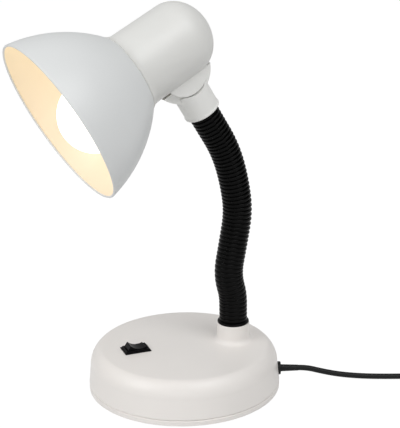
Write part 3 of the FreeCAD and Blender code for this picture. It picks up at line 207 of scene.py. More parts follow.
def level_shading(piece):
    even = piece.modifiers.new("even", "WEIGHTED_NORMAL")
    even.keep_sharp = True
    even.weight = 90
    return piece


def tint(red, green, blue):
    """A display colour of 0 to 255 as a linear one."""
    shares = [channel / 255 for channel in (red, green, blue)]
    return tuple(s / 12.92 if s <= 0.04045 else ((s + 0.055) / 1.055) ** 2.4 for s in shares) + (1,)


class Tone:
    """A value in a finish. Sums and products of values add their own Math nodes."""

    def __init__(self, tree, socket):
        self.tree = tree
        self.socket = socket

    @staticmethod
    def node(tree, kind, settings, sockets, out=0):
        """One node: its settings first, then a value or a link on each of its sockets."""
        made = tree.nodes.new(kind)
        for name, value in settings.items():
            setattr(made, name, value)
        for name, value in sockets.items():
            if isinstance(value, Tone):
                tree.links.new(value.socket, made.inputs[name])
            else:
                made.inputs[name].default_value = value
        return Tone(tree, made.outputs[out])

    def maths(self, operation, first, second):
        return Tone.node(self.tree, "ShaderNodeMath", {"operation": operation}, {0: first, 1: second})

    def __add__(self, other):
        return self.maths("ADD", self, other)

    def __sub__(self, other):
        return self.maths("SUBTRACT", self, other)

    def __rsub__(self, other):
        return self.maths("SUBTRACT", other, self)

    def __mul__(self, other):
        return self.maths("MULTIPLY", self, other)

    def __pow__(self, other):
        return self.maths("POWER", self, other)

    __radd__ = __add__
    __rmul__ = __mul__

    def speckle(self, size, detail):
        """Noise with patches of a size in millimetres, about one half on average."""
        sockets = {"Vector": self, "Scale": 1 / (size * MM), "Detail": detail}
        return Tone.node(self.tree, "ShaderNodeTexNoise", {}, sockets)

    def between(self, low, high):
        """A colour between two, by this value."""
        return Tone.node(
            self.tree, "ShaderNodeMix", {"data_type": "RGBA"}, {0: self, 6: low, 7: high}, 2
        )

    def bump(self, strength, depth):
        """A normal that follows this height, depth in millimetres."""
        sockets = {"Strength": strength, "Distance": depth * MM, "Height": self}
        return Tone.node(self.tree, "ShaderNodeBump", {}, sockets)


def finish(name, fixed, varied):
    """A material: fixed values on its shader, and what varied makes from the place on it."""
    material = bpy.data.materials.new(name)
    material.use_nodes = True
    tree = material.node_tree
    shader = tree.nodes["Principled BSDF"]
    for socket, value in fixed.items():
        shader.inputs[socket].default_value = value
    place = Tone.node(tree, "ShaderNodeTexCoord", {}, {}, 3)
    for socket, value in varied(place).items():
        tree.links.new(value.socket, shader.inputs[socket])
    return material


def moulded(name, colour, shine, roughness, grain=0.35):
    """Moulded plastic: an even colour with faint flow marks over a fine sparked grain."""
    darker = tuple(channel * 0.955 for channel in colour[:3]) + (1,)

    def varied(place):
        flow = place.speckle(38, 3)
        fine = place.speckle(grain, 4)
        handled = place.speckle(14, 5)
        return {
            "Base Color": (flow * 0.7 + fine * 0.3).between(darker, colour),
            "Roughness": roughness + (handled - 0.5) * 0.12 + (fine - 0.5) * 0.05,
            "Normal": (fine * 0.8 + handled * 0.2).bump(0.30, 0.05),
        }

    return finish(name, {"Specular IOR Level": shine}, varied)


white_moulding = moulded("white_moulding", tint(237, 233, 229), 0.5, 0.36)

knee_across = shoulder_radius - shoulder_round * (1 - SIN_45)
knee_height = shoulder_height + shoulder_round * SIN_45
crown_round = (base_top - knee_height) / (1 - SIN_45)
crown_radius = knee_across - crown_round * SIN_45
inner_top = base_top - wall
inner_knee = (knee_across - wall * SIN_45, knee_height - wall * SIN_45)
shell_outline = [(base_radius - seam_chamfer, seam_height)]
shell_outline += [(base_radius, seam_height + seam_chamfer), (shoulder_radius, shoulder_height)]
bow(shell_outline, (knee_across, knee_height), shoulder_round, 18)
bow(shell_outline, (crown_radius, base_top), crown_round, 14)
shell_outline += [(0, base_top), (0, inner_top), (crown_radius, inner_top)]
bow(shell_outline, inner_knee, wall - crown_round, 8)
bow(shell_outline, (shoulder_radius - wall, shoulder_height), wall - shoulder_round, 8)
shell_outline += [(base_radius - wall, seam_height)]

boss_root = inner_top + 0.5
boss_foot_radius = boss_radius + boss_fillet
boss_outline = [(0, boss_root), (boss_foot_radius, boss_root), (boss_foot_radius, base_top)]
bow(boss_outline, (boss_radius, base_top + boss_fillet), -boss_fillet, 12)
boss_outline += [(boss_radius, boss_top - boss_edge)]
bow(boss_outline, (boss_radius - boss_edge, boss_top), boss_edge, 5)
boss_outline += [(0, boss_top)]

gland_line = turn(-gland_turn, "Z") @ at(z=gland_height) @ ALONG_Y

base_shell = lathed("base_moulding", shell_outline, UNMOVED, 192)
worked(base_shell, "UNION", [lathed("boss", boss_outline, at(y=boss_back), 96)])
worked(base_shell, "DIFFERENCE", [
    rod("stem_hole", stem_hole_radius, 30, at(y=boss_back, z=25)),
    slab(
        "switch_hole", switch_hole_width, switch_hole_length, 30, 36,
        at(y=switch_back) @ turn(switch_turn, "Z"),
    ),
    rod("flange_seat", flange_seat_radius, 8, gland_line @ at(z=flange_back)),
    rod("gland_hole", gland_hole_radius, 12, gland_line @ at(z=flange_back - 8)),
])
level_shading(base_shell)
placed(base_shell, "base", "white_plastic", white_moulding, "base_shell")


# Rocker switch: a snap-in frame of black plastic with a thin bevelled rim, and a saddle-shaped
# rocker that stands up at the front. Its two brass blades and their wires are out of sight.
bezel_width = 15.0
bezel_length = 21.0
bezel_height = 2.0
rim_height = 0.8
rim_inset = 1.1
switch_width = 13.0
switch_length = 19.0
switch_depth = 14.0
well_length = 16.6
well_depth = 9.1
rocker_width = 10.4
rocker_half = 7.6
rocker_edge = 1.2
rocker_peak = 6.2
rocker_rise = 4.2
rocker_skirt = 1.0
rocker_keel = 5.0
saddle_radius = 10.6
rocker_play = 0.35
rocker_pivot = 0.5
rocker_tilt = 10.0
switch_place = at(y=switch_back, z=base_top) @ turn(switch_turn, "Z")
rocker_place = switch_place @ at(z=rocker_pivot) @ turn(-rocker_tilt, "X")


def softened(piece, width, steps=3, sharp=32):
    """Round the sharp edges, as a mould or a deburring wheel leaves them."""
    step = piece.modifiers.new("softened", "BEVEL")
    step.width = width * MM
    step.segments = steps
    step.limit_method = "ANGLE"
    step.angle_limit = math.radians(sharp)
    step.use_clamp_overlap = True
    settle(piece, sharp)
    even = piece.modifiers.new("even", "WEIGHTED_NORMAL")
    even.keep_sharp = True
    return piece


black_moulding = moulded("black_moulding", tint(7, 7, 8), 0.08, 0.30, 0.25)

bezel = slab("bezel", bezel_width, bezel_length, 0.0, rim_height, switch_place)
worked(bezel, "UNION", [
    slab(
        "bezel_step", bezel_width - 2 * rim_inset, bezel_length - 2 * rim_inset,
        rim_height / 2, bezel_height, switch_place,
    ),
    slab("switch_body", switch_width, switch_length, -switch_depth, rocker_pivot, switch_place),
])
worked(bezel, "DIFFERENCE", [
    slab("rocker_well", rocker_width + 2 * rocker_play, well_length, -well_depth, 5.0, switch_place)
])
softened(bezel, 0.3)
bezel.name = "switch_frame"
placed(bezel, "base", "black_plastic", black_moulding, "rocker_switch_frame")

saddle = [(-rocker_half, rocker_edge), (-rocker_peak, rocker_rise)]
bow(saddle, (rocker_peak, rocker_rise), saddle_radius, 20)
saddle += [(rocker_half, rocker_edge), (rocker_half, -rocker_skirt)]
saddle += [(rocker_half / 3, -rocker_keel), (-rocker_half / 3, -rocker_keel)]
saddle += [(-rocker_half, -rocker_skirt)]
rocker = plate(
    "rocker", saddle, -rocker_width / 2, rocker_width / 2, rocker_place @ turn(90, "Z") @ turn(90, "X")
)
softened(rocker, 0.45)
placed(rocker, "rocker", "black_plastic", black_moulding, "rocker_button")


# Gland and strain relief: one soft black moulding, its flange let into the base's wall and its
# sleeve tapered along the cord.
cord_radius = 2.2
relief_radius = 2.8
relief_tip = cord_radius + 0.15
relief_end = 90.28
gland_bore = cord_radius + 0.05
gland_waist = 3.0
gland_round = 0.7
clip_radius = 4.2
clip_back = flange_back - 4.4
clip_front = flange_back - 2.9
flange_front = flange_back + 3.0


def supple(name, colour, roughness, shine=0.16):
    """Black flexible sheathing: a waxy sheen, drawn lengthwise, with a little dust."""
    dusty = tuple(min(channel * 1.6 + 0.001, 1) for channel in colour[:3]) + (1,)

    def varied(place):
        drawn = place.speckle(2.2, 3)
        fine = place.speckle(0.3, 3)
        return {
            "Base Color": ((drawn + fine) * 0.5).between(colour, dusty),
            "Roughness": roughness + (drawn - 0.5) * 0.22,
            "Normal": fine.bump(0.25, 0.04),
        }

    return finish(name, {"Specular IOR Level": shine}, varied)


black_sheath = supple("black_sheath", tint(21, 22, 22), 0.40)

gland_outline = [(gland_bore, clip_back), (clip_radius, clip_back), (clip_radius, clip_front)]
gland_outline += [(gland_waist, clip_front), (gland_waist, flange_back)]
gland_outline += [(flange_radius, flange_back), (flange_radius, flange_front - gland_round)]
bow(gland_outline, (flange_radius - gland_round, flange_front), gland_round, 5)
gland_outline += [(relief_radius + gland_round, flange_front)]
bow(gland_outline, (relief_radius, flange_front + gland_round), -gland_round, 5)
gland_outline += [(relief_tip, relief_end - 0.3), (relief_tip - 0.08, relief_end)]
gland_outline += [(gland_bore, relief_end)]
gland = lathed("cord_relief", gland_outline, gland_line, 64)
settle(gland)
placed(gland, "base", "black_cord", black_sheath, "cord_gland")


# Mains cord: two-core lead, 1.8 m long. It leaves the relief straight, sinks to the table, runs
# out of view and is put away in a neat coil of four layers, with its plug beside the coil.
cord_frame = turn(90 - gland_turn, "Z")
turn_pitch = 5.0
layers = 4
turns_per_layer = 2.5
points_per_turn = 24
coil_turns = layers * turns_per_layer + 0.25
coil_radius = 25.0
outer_radius = coil_radius + turn_pitch * turns_per_layer / 2
coil_x = 216.0
coil_y = 3.0 + outer_radius
coil_rest = cord_radius + 1.0 + 0.1


def coil_spot(turns):
    """The cord's middle after some turns: in and out in a spiral, up a layer at each reversal."""
    layer, within = divmod(turns, turns_per_layer)
    reach = outer_radius + turn_pitch * within
    if layer < layers:
        inward = within if layer % 2 == 0 else turns_per_layer - within
        reach = outer_radius - turn_pitch * inward
    height = coil_rest
    for climb in range(1, layers):
        progress = (turns - climb * turns_per_layer) / 0.5 + 0.5
        progress = min(max(progress, 0), 1)
        height += turn_pitch * (1 - math.cos(math.pi * progress)) / 2
    angle = 2 * math.pi * turns - math.pi / 2
    return Vector((coil_x + reach * math.cos(angle), coil_y + reach * math.sin(angle), height))


def heading(turns):
    """The cord's direction at either end of the coil."""
    step = 1e-4 if turns == 0 else -1e-4
    return (coil_spot(turns + step) - coil_spot(turns)).normalized() * (1 if turns == 0 else -1)


coil_start = coil_spot(0)
coil_end = coil_spot(coil_turns)
plug_spot = Vector((coil_end.x + 3, coil_end.y + 74, 6.85))
route = [
    (relief_end, 0, gland_height),
    (relief_end + 6.7, 0, gland_height),
    (relief_end + 18, -0.3, 9.5),
    (relief_end + 32, 0.3, 6.2),
    (relief_end + 50, 0.9, 4.0),
    (relief_end + 70, 1.7, 3.0),
    (relief_end + 90, 2.3, 2.7),
    tuple(coil_start - heading(0) * 18),
]
marks = int(coil_turns * points_per_turn)
route += [tuple(coil_spot(coil_turns * mark / marks)) for mark in range(marks + 1)]
route += [
    tuple(coil_end + heading(coil_turns) * 11),
    (coil_end.x + 0.5, coil_end.y + 29, coil_end.z - 6.5),
    (coil_end.x + 1.8, coil_end.y + 48, 5.2),
    (plug_spot.x, coil_end.y + 63, plug_spot.z),
    tuple(plug_spot),
]
cord_line = bpy.data.curves.new("mains_lead", "CURVE")
cord_line.dimensions = "3D"
cord_line.bevel_depth = cord_radius * MM
cord_line.bevel_resolution = 6
cord_line.use_fill_caps = True
spline = cord_line.splines.new("NURBS")
spline.points.add(len(route) - 1)
for point, spot in zip(spline.points, route):
    point.co = (cord_frame @ Vector(spot) * MM).to_4d()
spline.order_u = 3
spline.use_endpoint_u = True
spline.resolution_u = 6
mains_lead = bpy.data.objects.new("mains_lead", cord_line)
bpy.context.scene.collection.objects.link(mains_lead)
cord_line.materials.append(black_sheath)
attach(mains_lead, "base")
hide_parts("mains_cord", "mains_cord_coil", "mains_cord_tail")


# Coil tie: a strap of black hook-and-loop tape, wrapped once round the turns of the put-away
# coil and pressed shut on itself.
tie_turn = 0.375
strap_width = 7.0
strap_sheet = 0.9
bundle_across = turn_pitch * turns_per_layer / 2 + turn_pitch - 0.4
bundle_up = (turn_pitch * (layers - 1) + 2 * cord_radius) / 2 + 0.25
tie_place = (
    cord_frame @ at(coil_x, coil_y, 0) @ turn(360 * tie_turn - 90, "Z") @ at(x=coil_radius)
)
strap_middle = bundle_up + strap_sheet + 0.1
strap_squareness = 2 / 0.42
around_bundle = 72


def squarish(step, around, squareness):
    """Across and up on a round-cornered square; a squareness of 2 is a circle."""
    angle = 2 * math.pi * step / around
    across = math.copysign(abs(math.cos(angle)) ** (2 / squareness), math.cos(angle))
    up = math.copysign(abs(math.sin(angle)) ** (2 / squareness), math.sin(angle))
    return across, up


def skin(rings, around, closed):
    """Faces between rings of points, and from the last ring to the first one if closed."""
    faces = []
    for ring in range(rings if closed else rings - 1):
        low = ring * around
        high = (ring + 1) % rings * around
        for step in range(around):
            following = (step + 1) % around
            faces.append((low + step, low + following, high + following, high + step))
    return faces


strap_points = []
strap_corners = ((0, -0.5), (0, 0.5), (strap_sheet, 0.5), (strap_sheet, -0.5))
for step in range(around_bundle):
    across, up = squarish(step, around_bundle, strap_squareness)
    for grown, side in strap_corners:
        strap_points.append((
            (bundle_across + grown) * across, side * strap_width, strap_middle + (bundle_up + grown) * up
        ))
strap = solid("cord_strap", strap_points, skin(around_bundle, len(strap_corners), closed=True), tie_place)
softened(strap, 0.2, 2)


def looped_tape(place):
    loops = place.speckle(0.5, 4)
    weave = place.speckle(1.3, 2)
    return {
        "Base Color": loops.between(tint(18, 18, 19), tint(46, 46, 48)),
        "Roughness": 0.75 + (weave - 0.5) * 0.2,
        "Normal": (loops + weave).bump(0.6, 0.25),
    }


strap_tape = finish("strap_tape", {"Specular IOR Level": 0.3}, looped_tape)
placed(strap, "base", "tie_strap", strap_tape, "coil_tie")


# Plug: a flat two-pin plug moulded round the cord's end, waisted towards the cord, with two
# round pins that are sheathed at the root and bright at the tip.
plug_place = cord_frame @ Matrix.Translation(plug_spot)
plug_stations = (
    (0.0, 3.4, 3.4, 2.0), (3.0, 3.7, 3.6, 2.2), (8.0, 4.5, 4.0, 2.6), (13.0, 6.4, 4.7, 3.0),
    (18.0, 9.8, 5.6, 3.6), (22.0, 13.4, 6.3, 4.2), (25.5, 16.2, 6.8, 5.0), (29.0, 17.3, 6.8, 5.5),
    (32.0, 17.0, 6.8, 5.5), (35.2, 14.8, 6.6, 5.0), (36.0, 14.0, 6.0, 4.5),
)
plug_around = 64
plug_points = []
for along, half_wide, half_high, squareness in plug_stations:
    for step in range(plug_around):
        across, up = squarish(step, plug_around, squareness)
        plug_points.append((half_wide * across, along, half_high * up))
plug_ends = [range(plug_around), range(len(plug_points) - plug_around, len(plug_points))]
plug_faces = [tuple(end) for end in plug_ends] + skin(len(plug_stations), plug_around, closed=False)
plug = solid("plug", plug_points, plug_faces, plug_place)
settle(plug)
placed(plug, "base", "black_cord", black_sheath, "plug_body")


def plated(name, colour, roughness):
    """Plated or turned metal: fine lines, small smears and a slightly uneven shine."""
    dull = tuple(channel * 0.82 for channel in colour[:3]) + (1,)

    def varied(place):
        smear = place.speckle(5, 3)
        lines = place.speckle(0.35, 2)
        return {
            "Base Color": smear.between(dull, colour),
            "Roughness": roughness + (smear - 0.5) * 0.15 + (lines - 0.5) * 0.10,
            "Normal": lines.bump(0.2, 0.02),
        }

    return finish(name, {"Metallic": 1.0}, varied)


nickel = plated("nickel", (0.78, 0.76, 0.72, 1), 0.22)
pin_radius = 2.0
pin_sleeve = 1.9
pin_sheathed = 9.5
pin_length = 19.0
pin_tip = 1.4
pin_side = 9.5
plug_front = plug_stations[-1][0]
pin_outline = [(0, 0), (pin_sleeve, 0), (pin_sleeve, pin_sheathed), (pin_radius, pin_sheathed + 0.1)]
pin_outline += [(pin_radius, pin_length - pin_tip)]
bow(pin_outline, (pin_radius - pin_tip, pin_length), pin_tip + 0.1, 6)
pin_outline += [(0, pin_length)]
pins = []
for side in (-1, 1):
    pins.append(lathed(
        "plug_pin_right" if side == 1 else "plug_pin_left", pin_outline,
        plug_place @ at(x=pin_side * side, y=plug_front) @ ALONG_Y, 48,
    ))
    settle(pins[-1])
    placed(pins[-1], "base", "nickel", nickel)
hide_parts("plug_pins")


# Bottom cover: a flat moulded plate under the shell, held by three screws. Only its rim shows,
# below a fine seam; five rubber pads are let into it.
cover_edge = 0.4
cover_low = 0.8
cover_top = 5.0
cover_floor = 3.2
lip_top = 7.1
lip_outside = 72.2
lip_inside = 70.2
pad_ring = 59.0
pad_sink_radius = 6.1
pad_sink_top = 2.0
screw_ring = 64.0
screw_sink_radius = 3.4
screw_sink_top = 2.2
cover_outline = [(0, cover_low), (base_radius - cover_edge, cover_low)]
bow(cover_outline, (base_radius, cover_low + cover_edge), cover_edge, 6)
cover_outline += [(base_radius, cover_top - seam_chamfer), (base_radius - seam_chamfer, cover_top)]
cover_outline += [(lip_outside, cover_top), (lip_outside, lip_top), (lip_inside, lip_top)]
cover_outline += [(lip_inside, cover_floor), (0, cover_floor)]
cover = lathed("bottom_cover", cover_outline, UNMOVED, 192)
below = at(z=-1)
sinks = [rod("pad_sink_0", pad_sink_radius, pad_sink_top + 1, below)]
for count, angle in enumerate((45, 135, 225, 315), start=1):
    sink_place = turn(angle, "Z") @ at(x=pad_ring) @ below
    sinks.append(rod(f"pad_sink_{count}", pad_sink_radius, pad_sink_top + 1, sink_place))
for count, angle in enumerate((30, 150, 270)):
    sink_place = turn(angle, "Z") @ at(x=screw_ring) @ below
    sinks.append(rod(f"screw_sink_{count}", screw_sink_radius, screw_sink_top + 1, sink_place))
worked(cover, "DIFFERENCE", sinks)
level_shading(cover)
placed(cover, "base", "white_plastic", white_moulding, "base_bottom_cover")


# Foot ring: a black moulded ring that hides the threaded stem where the neck enters the boss.
# It is pressed over the stem and lies on the boss's top.
neck_turn = 14.5
neck_frame = at(y=boss_back) @ turn(neck_turn, "Z")
ring_top = boss_top + 2.0
ring_middle = boss_top + 1.0
ring_bore = 8.1
ring_radius = 12.4
ring_round = 1.0
ring_outline = [(ring_bore, boss_top), (ring_radius - 0.5, boss_top)]
bow(ring_outline, (ring_radius, ring_middle), ring_round, 4)
bow(ring_outline, (ring_radius - 0.8, ring_top), ring_round, 4)
ring_outline += [(ring_bore, ring_top)]
foot_ring = lathed("neck_ring", ring_outline, neck_frame, 96)
settle(foot_ring)
placed(foot_ring, "base", "black_plastic", black_moulding, "neck_foot_ring")


# Neck sleeve: a soft black tube, ribbed like a bellows, over the steel gooseneck. Its ribs lie
# close where the neck is short and open where it is drawn round the upper bend. One length of
# it goes over each hinge of the neck.
neck_runs = (
    (14, 0), (14, 16), (22, -12), (28, -10.7), (24, 8), (24, 15.4), (30, 31), (24, 31),
)
neck_length = sum(length for length, _ in neck_runs)
ribs_at_foot = 4
ribs_per_link = 5
ribs_at_collar = 5
links = 9
rib_pitch = neck_length / (ribs_at_foot + links * ribs_per_link + ribs_at_collar)
sleeve_foot_radius = 11.0
sleeve_growth = 0.7
sleeve_bore = 8.8
sleeve_around = 72
bend_reach = 6.5
groove_depth = 0.75
groove_more_inside = 0.3
groove_more_outside = 1.3
rib_share = 0.86
rib_less_inside = 0.16
rib_less_outside = 0.32
opening_start = 0.28
opening_length = 0.3


def neck_place(distance):
    """Frame on the neck's middle line at a distance from the foot ring, its Z along it."""
    y = 0.0
    z = ring_top
    lean = 0.0
    left = distance
    for length, end_degrees in neck_runs:
        bend = (math.radians(end_degrees) - lean) / length
        run = min(left, length)
        after = lean + bend * run
        if abs(bend) < 1e-9:
            y -= math.sin(lean) * run
            z += math.cos(lean) * run
        else:
            y += (math.cos(after) - math.cos(lean)) / bend
            z += (math.sin(after) - math.sin(lean)) / bend
        lean = after
        left -= length
        if left <= 0:
            break
    return neck_frame @ at(0, y, z) @ Matrix.Rotation(lean, 4, "X")


def rib_line(distance, outward):
    """Radius of the sleeve: rounded ribs, close at the foot, open outside the upper bend."""
    share = distance / neck_length
    crest = sleeve_foot_radius + sleeve_growth * share
    opened = min(max((share - opening_start) / opening_length, 0), 1)
    turned = (1 + outward) / 2
    more = groove_more_inside + (groove_more_outside - groove_more_inside) * turned
    less = rib_less_inside + (rib_less_outside - rib_less_inside) * turned
    depth = groove_depth + more * opened
    width = rib_share - less * opened
    across = abs((distance / rib_pitch) % 1 - 0.5) * 2 / width
    rounded = math.sqrt(max(1 - min(across, 1) ** 3, 0))
    return crest - depth * (1 - rounded)


def sleeve_length(name, start, end):
    """One length of sleeve between two distances, closed at both ends by its wall."""
    steps = max(round((end - start) / rib_pitch * 16), 2)
    rows = [(start + (end - start) * step / steps) for step in range(steps + 1)]
    rings = [(distance, False) for distance in rows]
    rings += [(distance, True) for distance in reversed(rows[::8] + [end])]
    points = []
    for distance, inside in rings:
        place = neck_place(distance)
        for step in range(sleeve_around):
            angle = 2 * math.pi * step / sleeve_around
            radius = sleeve_bore if inside else rib_line(distance, math.sin(angle))
            points.append(place @ Vector((radius * math.cos(angle), radius * math.sin(angle), 0)))
    return solid(name, points, skin(len(rings), sleeve_around, closed=True))


sleeve_skin = supple("sleeve_skin", tint(3, 3, 3), 0.16, 0.08)
chain = ["base"] + [f"neck_link_{link}" for link in range(1, links + 1)] + ["collar"]
nodes = ["neck_sleeve_foot"] + [f"neck_sleeve_{link}" for link in range(1, links + 1)]
hinge_marks = [rib_pitch * (ribs_at_foot + ribs_per_link * count) for count in range(links + 1)]
joins = [0.0]
joins += [(a + b) / 2 for a, b in zip(hinge_marks, hinge_marks[1:])]
joins += [neck_length]
for count, mark in enumerate(hinge_marks):
    tube = sleeve_length(f"ribbed_sleeve_{count + 1}", joins[count], joins[count + 1])
    settle(tube, 60)
    tube.data.materials.append(sleeve_skin)
    chain[count + 1]
    tuple(neck_place(mark - bend_reach).translation * MM)
    tuple(neck_place(mark + bend_reach).translation * MM)
    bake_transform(tube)
    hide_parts(nodes[count])
    if count == links:
        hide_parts("neck_sleeve_top")


# Collar: a white moulded cup on the neck's end with a thin lip, hollowed for the head's cheeks,
# and the round tongue of the knuckle standing out of it.
collar_place = neck_place(neck_length)
bolt_rise = 38.0
bolt_place = collar_place @ at(z=bolt_rise)
collar_radius = 13.8
collar_lip = 0.4
collar_bore = 8.05
collar_height = 21.5
collar_floor = 14.0
cup_radius = 18.6
tongue_radius = 24.2
tongue_half = 6.0
tongue_foot = 9.0
eye_radius = 7.0
bolt_hole_radius = 2.05
tongue_round = 0.7
ALONG_X = turn(90, "Y")
lip_radius = collar_radius + collar_lip
collar_outline = [(collar_bore, 0), (lip_radius - 0.4, 0)]
bow(collar_outline, (lip_radius, 0.4), 0.4, 4)
collar_outline += [(lip_radius, 1.2), (collar_radius + 0.05, 1.6), (collar_radius, 1.9)]
collar_outline += [(collar_radius, collar_height), (0, collar_height), (0, collar_floor)]
collar_outline += [(collar_bore, collar_floor)]
collar = lathed("knuckle_collar", collar_outline, collar_place, 128)
# A lighter white than the housing's; on the housing's cheeks it is painted light.
collar_and_painted_cheek_moulding = moulded("collar_and_painted_cheek_moulding", tint(235, 235, 232), 0.5, 0.34)


def upright_disc(name, radius, half_width, edge, place, around=160):
    """A disc on the knuckle's axis with rounded edges."""
    line = [(0, -half_width), (radius - edge, -half_width)]
    bow(line, (radius, edge - half_width), edge, 5)
    line += [(radius, half_width - edge)]
    bow(line, (radius - edge, half_width), edge, 5)
    line += [(0, half_width)]
    return lathed(name, line, place @ ALONG_X, around)


worked(collar, "DIFFERENCE", [
    rod("cup", cup_radius, 34, bolt_place @ at(x=-17) @ ALONG_X)
])
tongue = upright_disc("tongue", tongue_radius, tongue_half, tongue_round, bolt_place)
worked(tongue, "DIFFERENCE", [slab("tongue_trim", 20, 60, -tongue_foot, 30, bolt_place)])
web = slab("web", 2 * tongue_half, 2 * eye_radius, -11, 0, bolt_place)
eye = rod("eye", eye_radius, 2 * tongue_half, bolt_place @ at(x=-tongue_half) @ ALONG_X)
worked(collar, "UNION", [tongue, web, eye])
worked(collar, "DIFFERENCE", [
    rod("eye_hole", bolt_hole_radius, 20, bolt_place @ at(x=-10) @ ALONG_X)
])
level_shading(collar)
placed(collar, "collar", "white_plastic", collar_and_painted_cheek_moulding, "neck_collar")


# Head housing: a cap moulded in the same white plastic, flared where it meets the shade, with
# a round end and two round cheeks that take the knuckle's tongue between them.
head_tilt = 27.3
bolt_back = 97.0
bolt_drop = 20.0
neck_lean = neck_runs[-1][1]
head_frame = bolt_place @ turn(head_tilt - neck_lean, "X") @ at(y=-bolt_back, z=bolt_drop)
head_line = head_frame @ ALONG_Y
knuckle = head_frame @ at(y=bolt_back, z=-bolt_drop)
shade_back = 61.5
flare_front = shade_back + 0.1
flare_edge = flare_front + 0.3
flare_back = flare_front + 6.5
flare_radius = 31.0
housing_radius = 28.6
back_radius = 28.2
housing_wall = 2.0
end_start = 107.5
end_round = 22.0
housing_end = 131.5
cheek_radius = 18.0
cheek_round = 0.8
cheek_wall = 5.7
cheek_top = 6.5
slot_half = 6.3
slot_radius = 24.8
end_across = back_radius - end_round * (1 - SIN_45)
end_along = end_start + end_round * SIN_45
tip_round = (housing_end - end_along) / (1 - SIN_45)
tip_flat = end_across - tip_round * SIN_45
inner_across = end_across - housing_wall * SIN_45
inner_along = end_along - housing_wall * SIN_45
housing_outline = [(29.0, flare_front), (flare_radius - 0.3, flare_front), (flare_radius, flare_edge)]
bow(housing_outline, (housing_radius, flare_back), -10.0, 10)
housing_outline += [(back_radius, end_start)]
bow(housing_outline, (end_across, end_along), end_round, 16)
bow(housing_outline, (tip_flat, housing_end), tip_round, 16)
housing_outline += [(0, housing_end), (0, housing_end - housing_wall)]
housing_outline += [(tip_flat, housing_end - housing_wall)]
bow(housing_outline, (inner_across, inner_along), housing_wall - tip_round, 8)
bow(housing_outline, (back_radius - housing_wall, end_start), housing_wall - end_round, 8)
housing_outline += [(housing_radius - housing_wall, flare_back)]
housing = lathed("lamp_housing", housing_outline, head_line, 192)
head_moulding = moulded("head_moulding", tint(221, 221, 218), 0.5, 0.38)
cheek_middle = slot_half + cheek_wall / 2
for side in (-1, 1):
    cheek = upright_disc(
        "cheek", cheek_radius, cheek_wall / 2, cheek_round, knuckle @ at(x=cheek_middle * side), 128
    )
    worked(cheek, "DIFFERENCE", [slab("cheek_trim", 60, 60, cheek_top, 30, knuckle)])
    worked(housing, "UNION", [cheek])
worked(housing, "DIFFERENCE", [
    rod("knuckle_slot", slot_radius, 2 * slot_half, knuckle @ at(x=-slot_half) @ ALONG_X),
    rod("bolt_hole", bolt_hole_radius, 34, knuckle @ at(x=-17) @ ALONG_X),
])
level_shading(housing)
placed(housing, "head", "white_plastic", head_moulding, "head_housing")
# Painted light: the cheeks take the collar's lighter white, standing for light that falls on them from
# below.
housing.data.materials.append(collar_and_painted_cheek_moulding)
painted_cheek_from = flare_front + 8
to_head_line = head_line.inverted()
for face in housing.data.polygons:
    spot = to_head_line @ (face.center / MM)
    beside = math.hypot(spot.x, spot.y) > back_radius + 0.2
    face.material_index = 1 if beside and spot.z > painted_cheek_from else 0


# Shade: a bell spun from sheet metal and powder-coated, its mouth rolled over a wire. The same
# coat is inside, with the lit bulb's warm light painted on it: a cream copy and a painted glow, a little
# stronger higher up.
mouth_radius = 64.5
shade_bow = 106.0
sheet_metal = 1.0
bead = 0.9
bead_rise = 0.55
bell_rise = 0.6
inner_rise = 1.2
holder_hole_radius = 18.5
globe_along = 26.6
globe_drop = 11.5
globe_tilt = 13.0
holder_drop = globe_drop - (shade_back - globe_along) * math.tan(math.radians(globe_tilt))
inner_mouth = (mouth_radius - sheet_metal * 1.04, inner_rise)
inner_corner = (flare_radius - sheet_metal * 0.9, shade_back - sheet_metal)
shade_outline = [inner_mouth]
for step in range(7):
    around_bead = math.radians(180 + 30 * step)
    shade_outline.append((
        mouth_radius - bead + bead * math.cos(around_bead),
        bead_rise + bead * math.sin(around_bead),
    ))
shade_outline += [(mouth_radius, bell_rise)]
bow(shade_outline, (flare_radius, shade_back), shade_bow, 48)
shade_outline += [(0, shade_back), (0, shade_back - sheet_metal), inner_corner]
bow(shade_outline, inner_mouth, sheet_metal - shade_bow, 40)
shade = lathed("shade_bell", shade_outline[:-1], head_line, 224)
hole_place = head_frame @ at(y=shade_back - 3, z=-holder_drop) @ ALONG_Y
worked(shade, "DIFFERENCE", [rod("holder_hole", holder_hole_radius, 6, hole_place)])


painted_light_from = 0.17
painted_light_per_metre = 9


def coated(name, colour, painted_light_low=None, painted_light_high=None):
    """Powder coat: a satin skin with a soft orange-peel relief and a few dust nibs; given painted light
    colours, it also carries a painted glow of bulb light, stronger higher up.
    """
    darker = tuple(channel * 0.965 for channel in colour[:3]) + (1,)

    def varied(place):
        peel = place.speckle(1.6, 2)
        mottle = place.speckle(30, 3)
        nibs = place.speckle(0.45, 2) ** 6
        made = {
            "Base Color": (mottle * 0.8 + peel * 0.2).between(darker, colour),
            "Roughness": 0.40 + (mottle - 0.5) * 0.10 + (peel - 0.5) * 0.06,
            "Normal": (peel + nibs).bump(0.22, 0.06),
        }
        if painted_light_low:
            # Painted light: the bulb's warm glow as emission, growing with height.
            height = Tone.node(place.tree, "ShaderNodeSeparateXYZ", {}, {"Vector": place}, 2)
            made["Emission Color"] = ((height - painted_light_from) * painted_light_per_metre).between(painted_light_low, painted_light_high)
        return made

    fixed = {"Specular IOR Level": 0.5}
    if painted_light_low:
        fixed["Emission Strength"] = 1.0
    return finish(name, fixed, varied)


shade_coat = coated("shade_coat", tint(219, 221, 221))
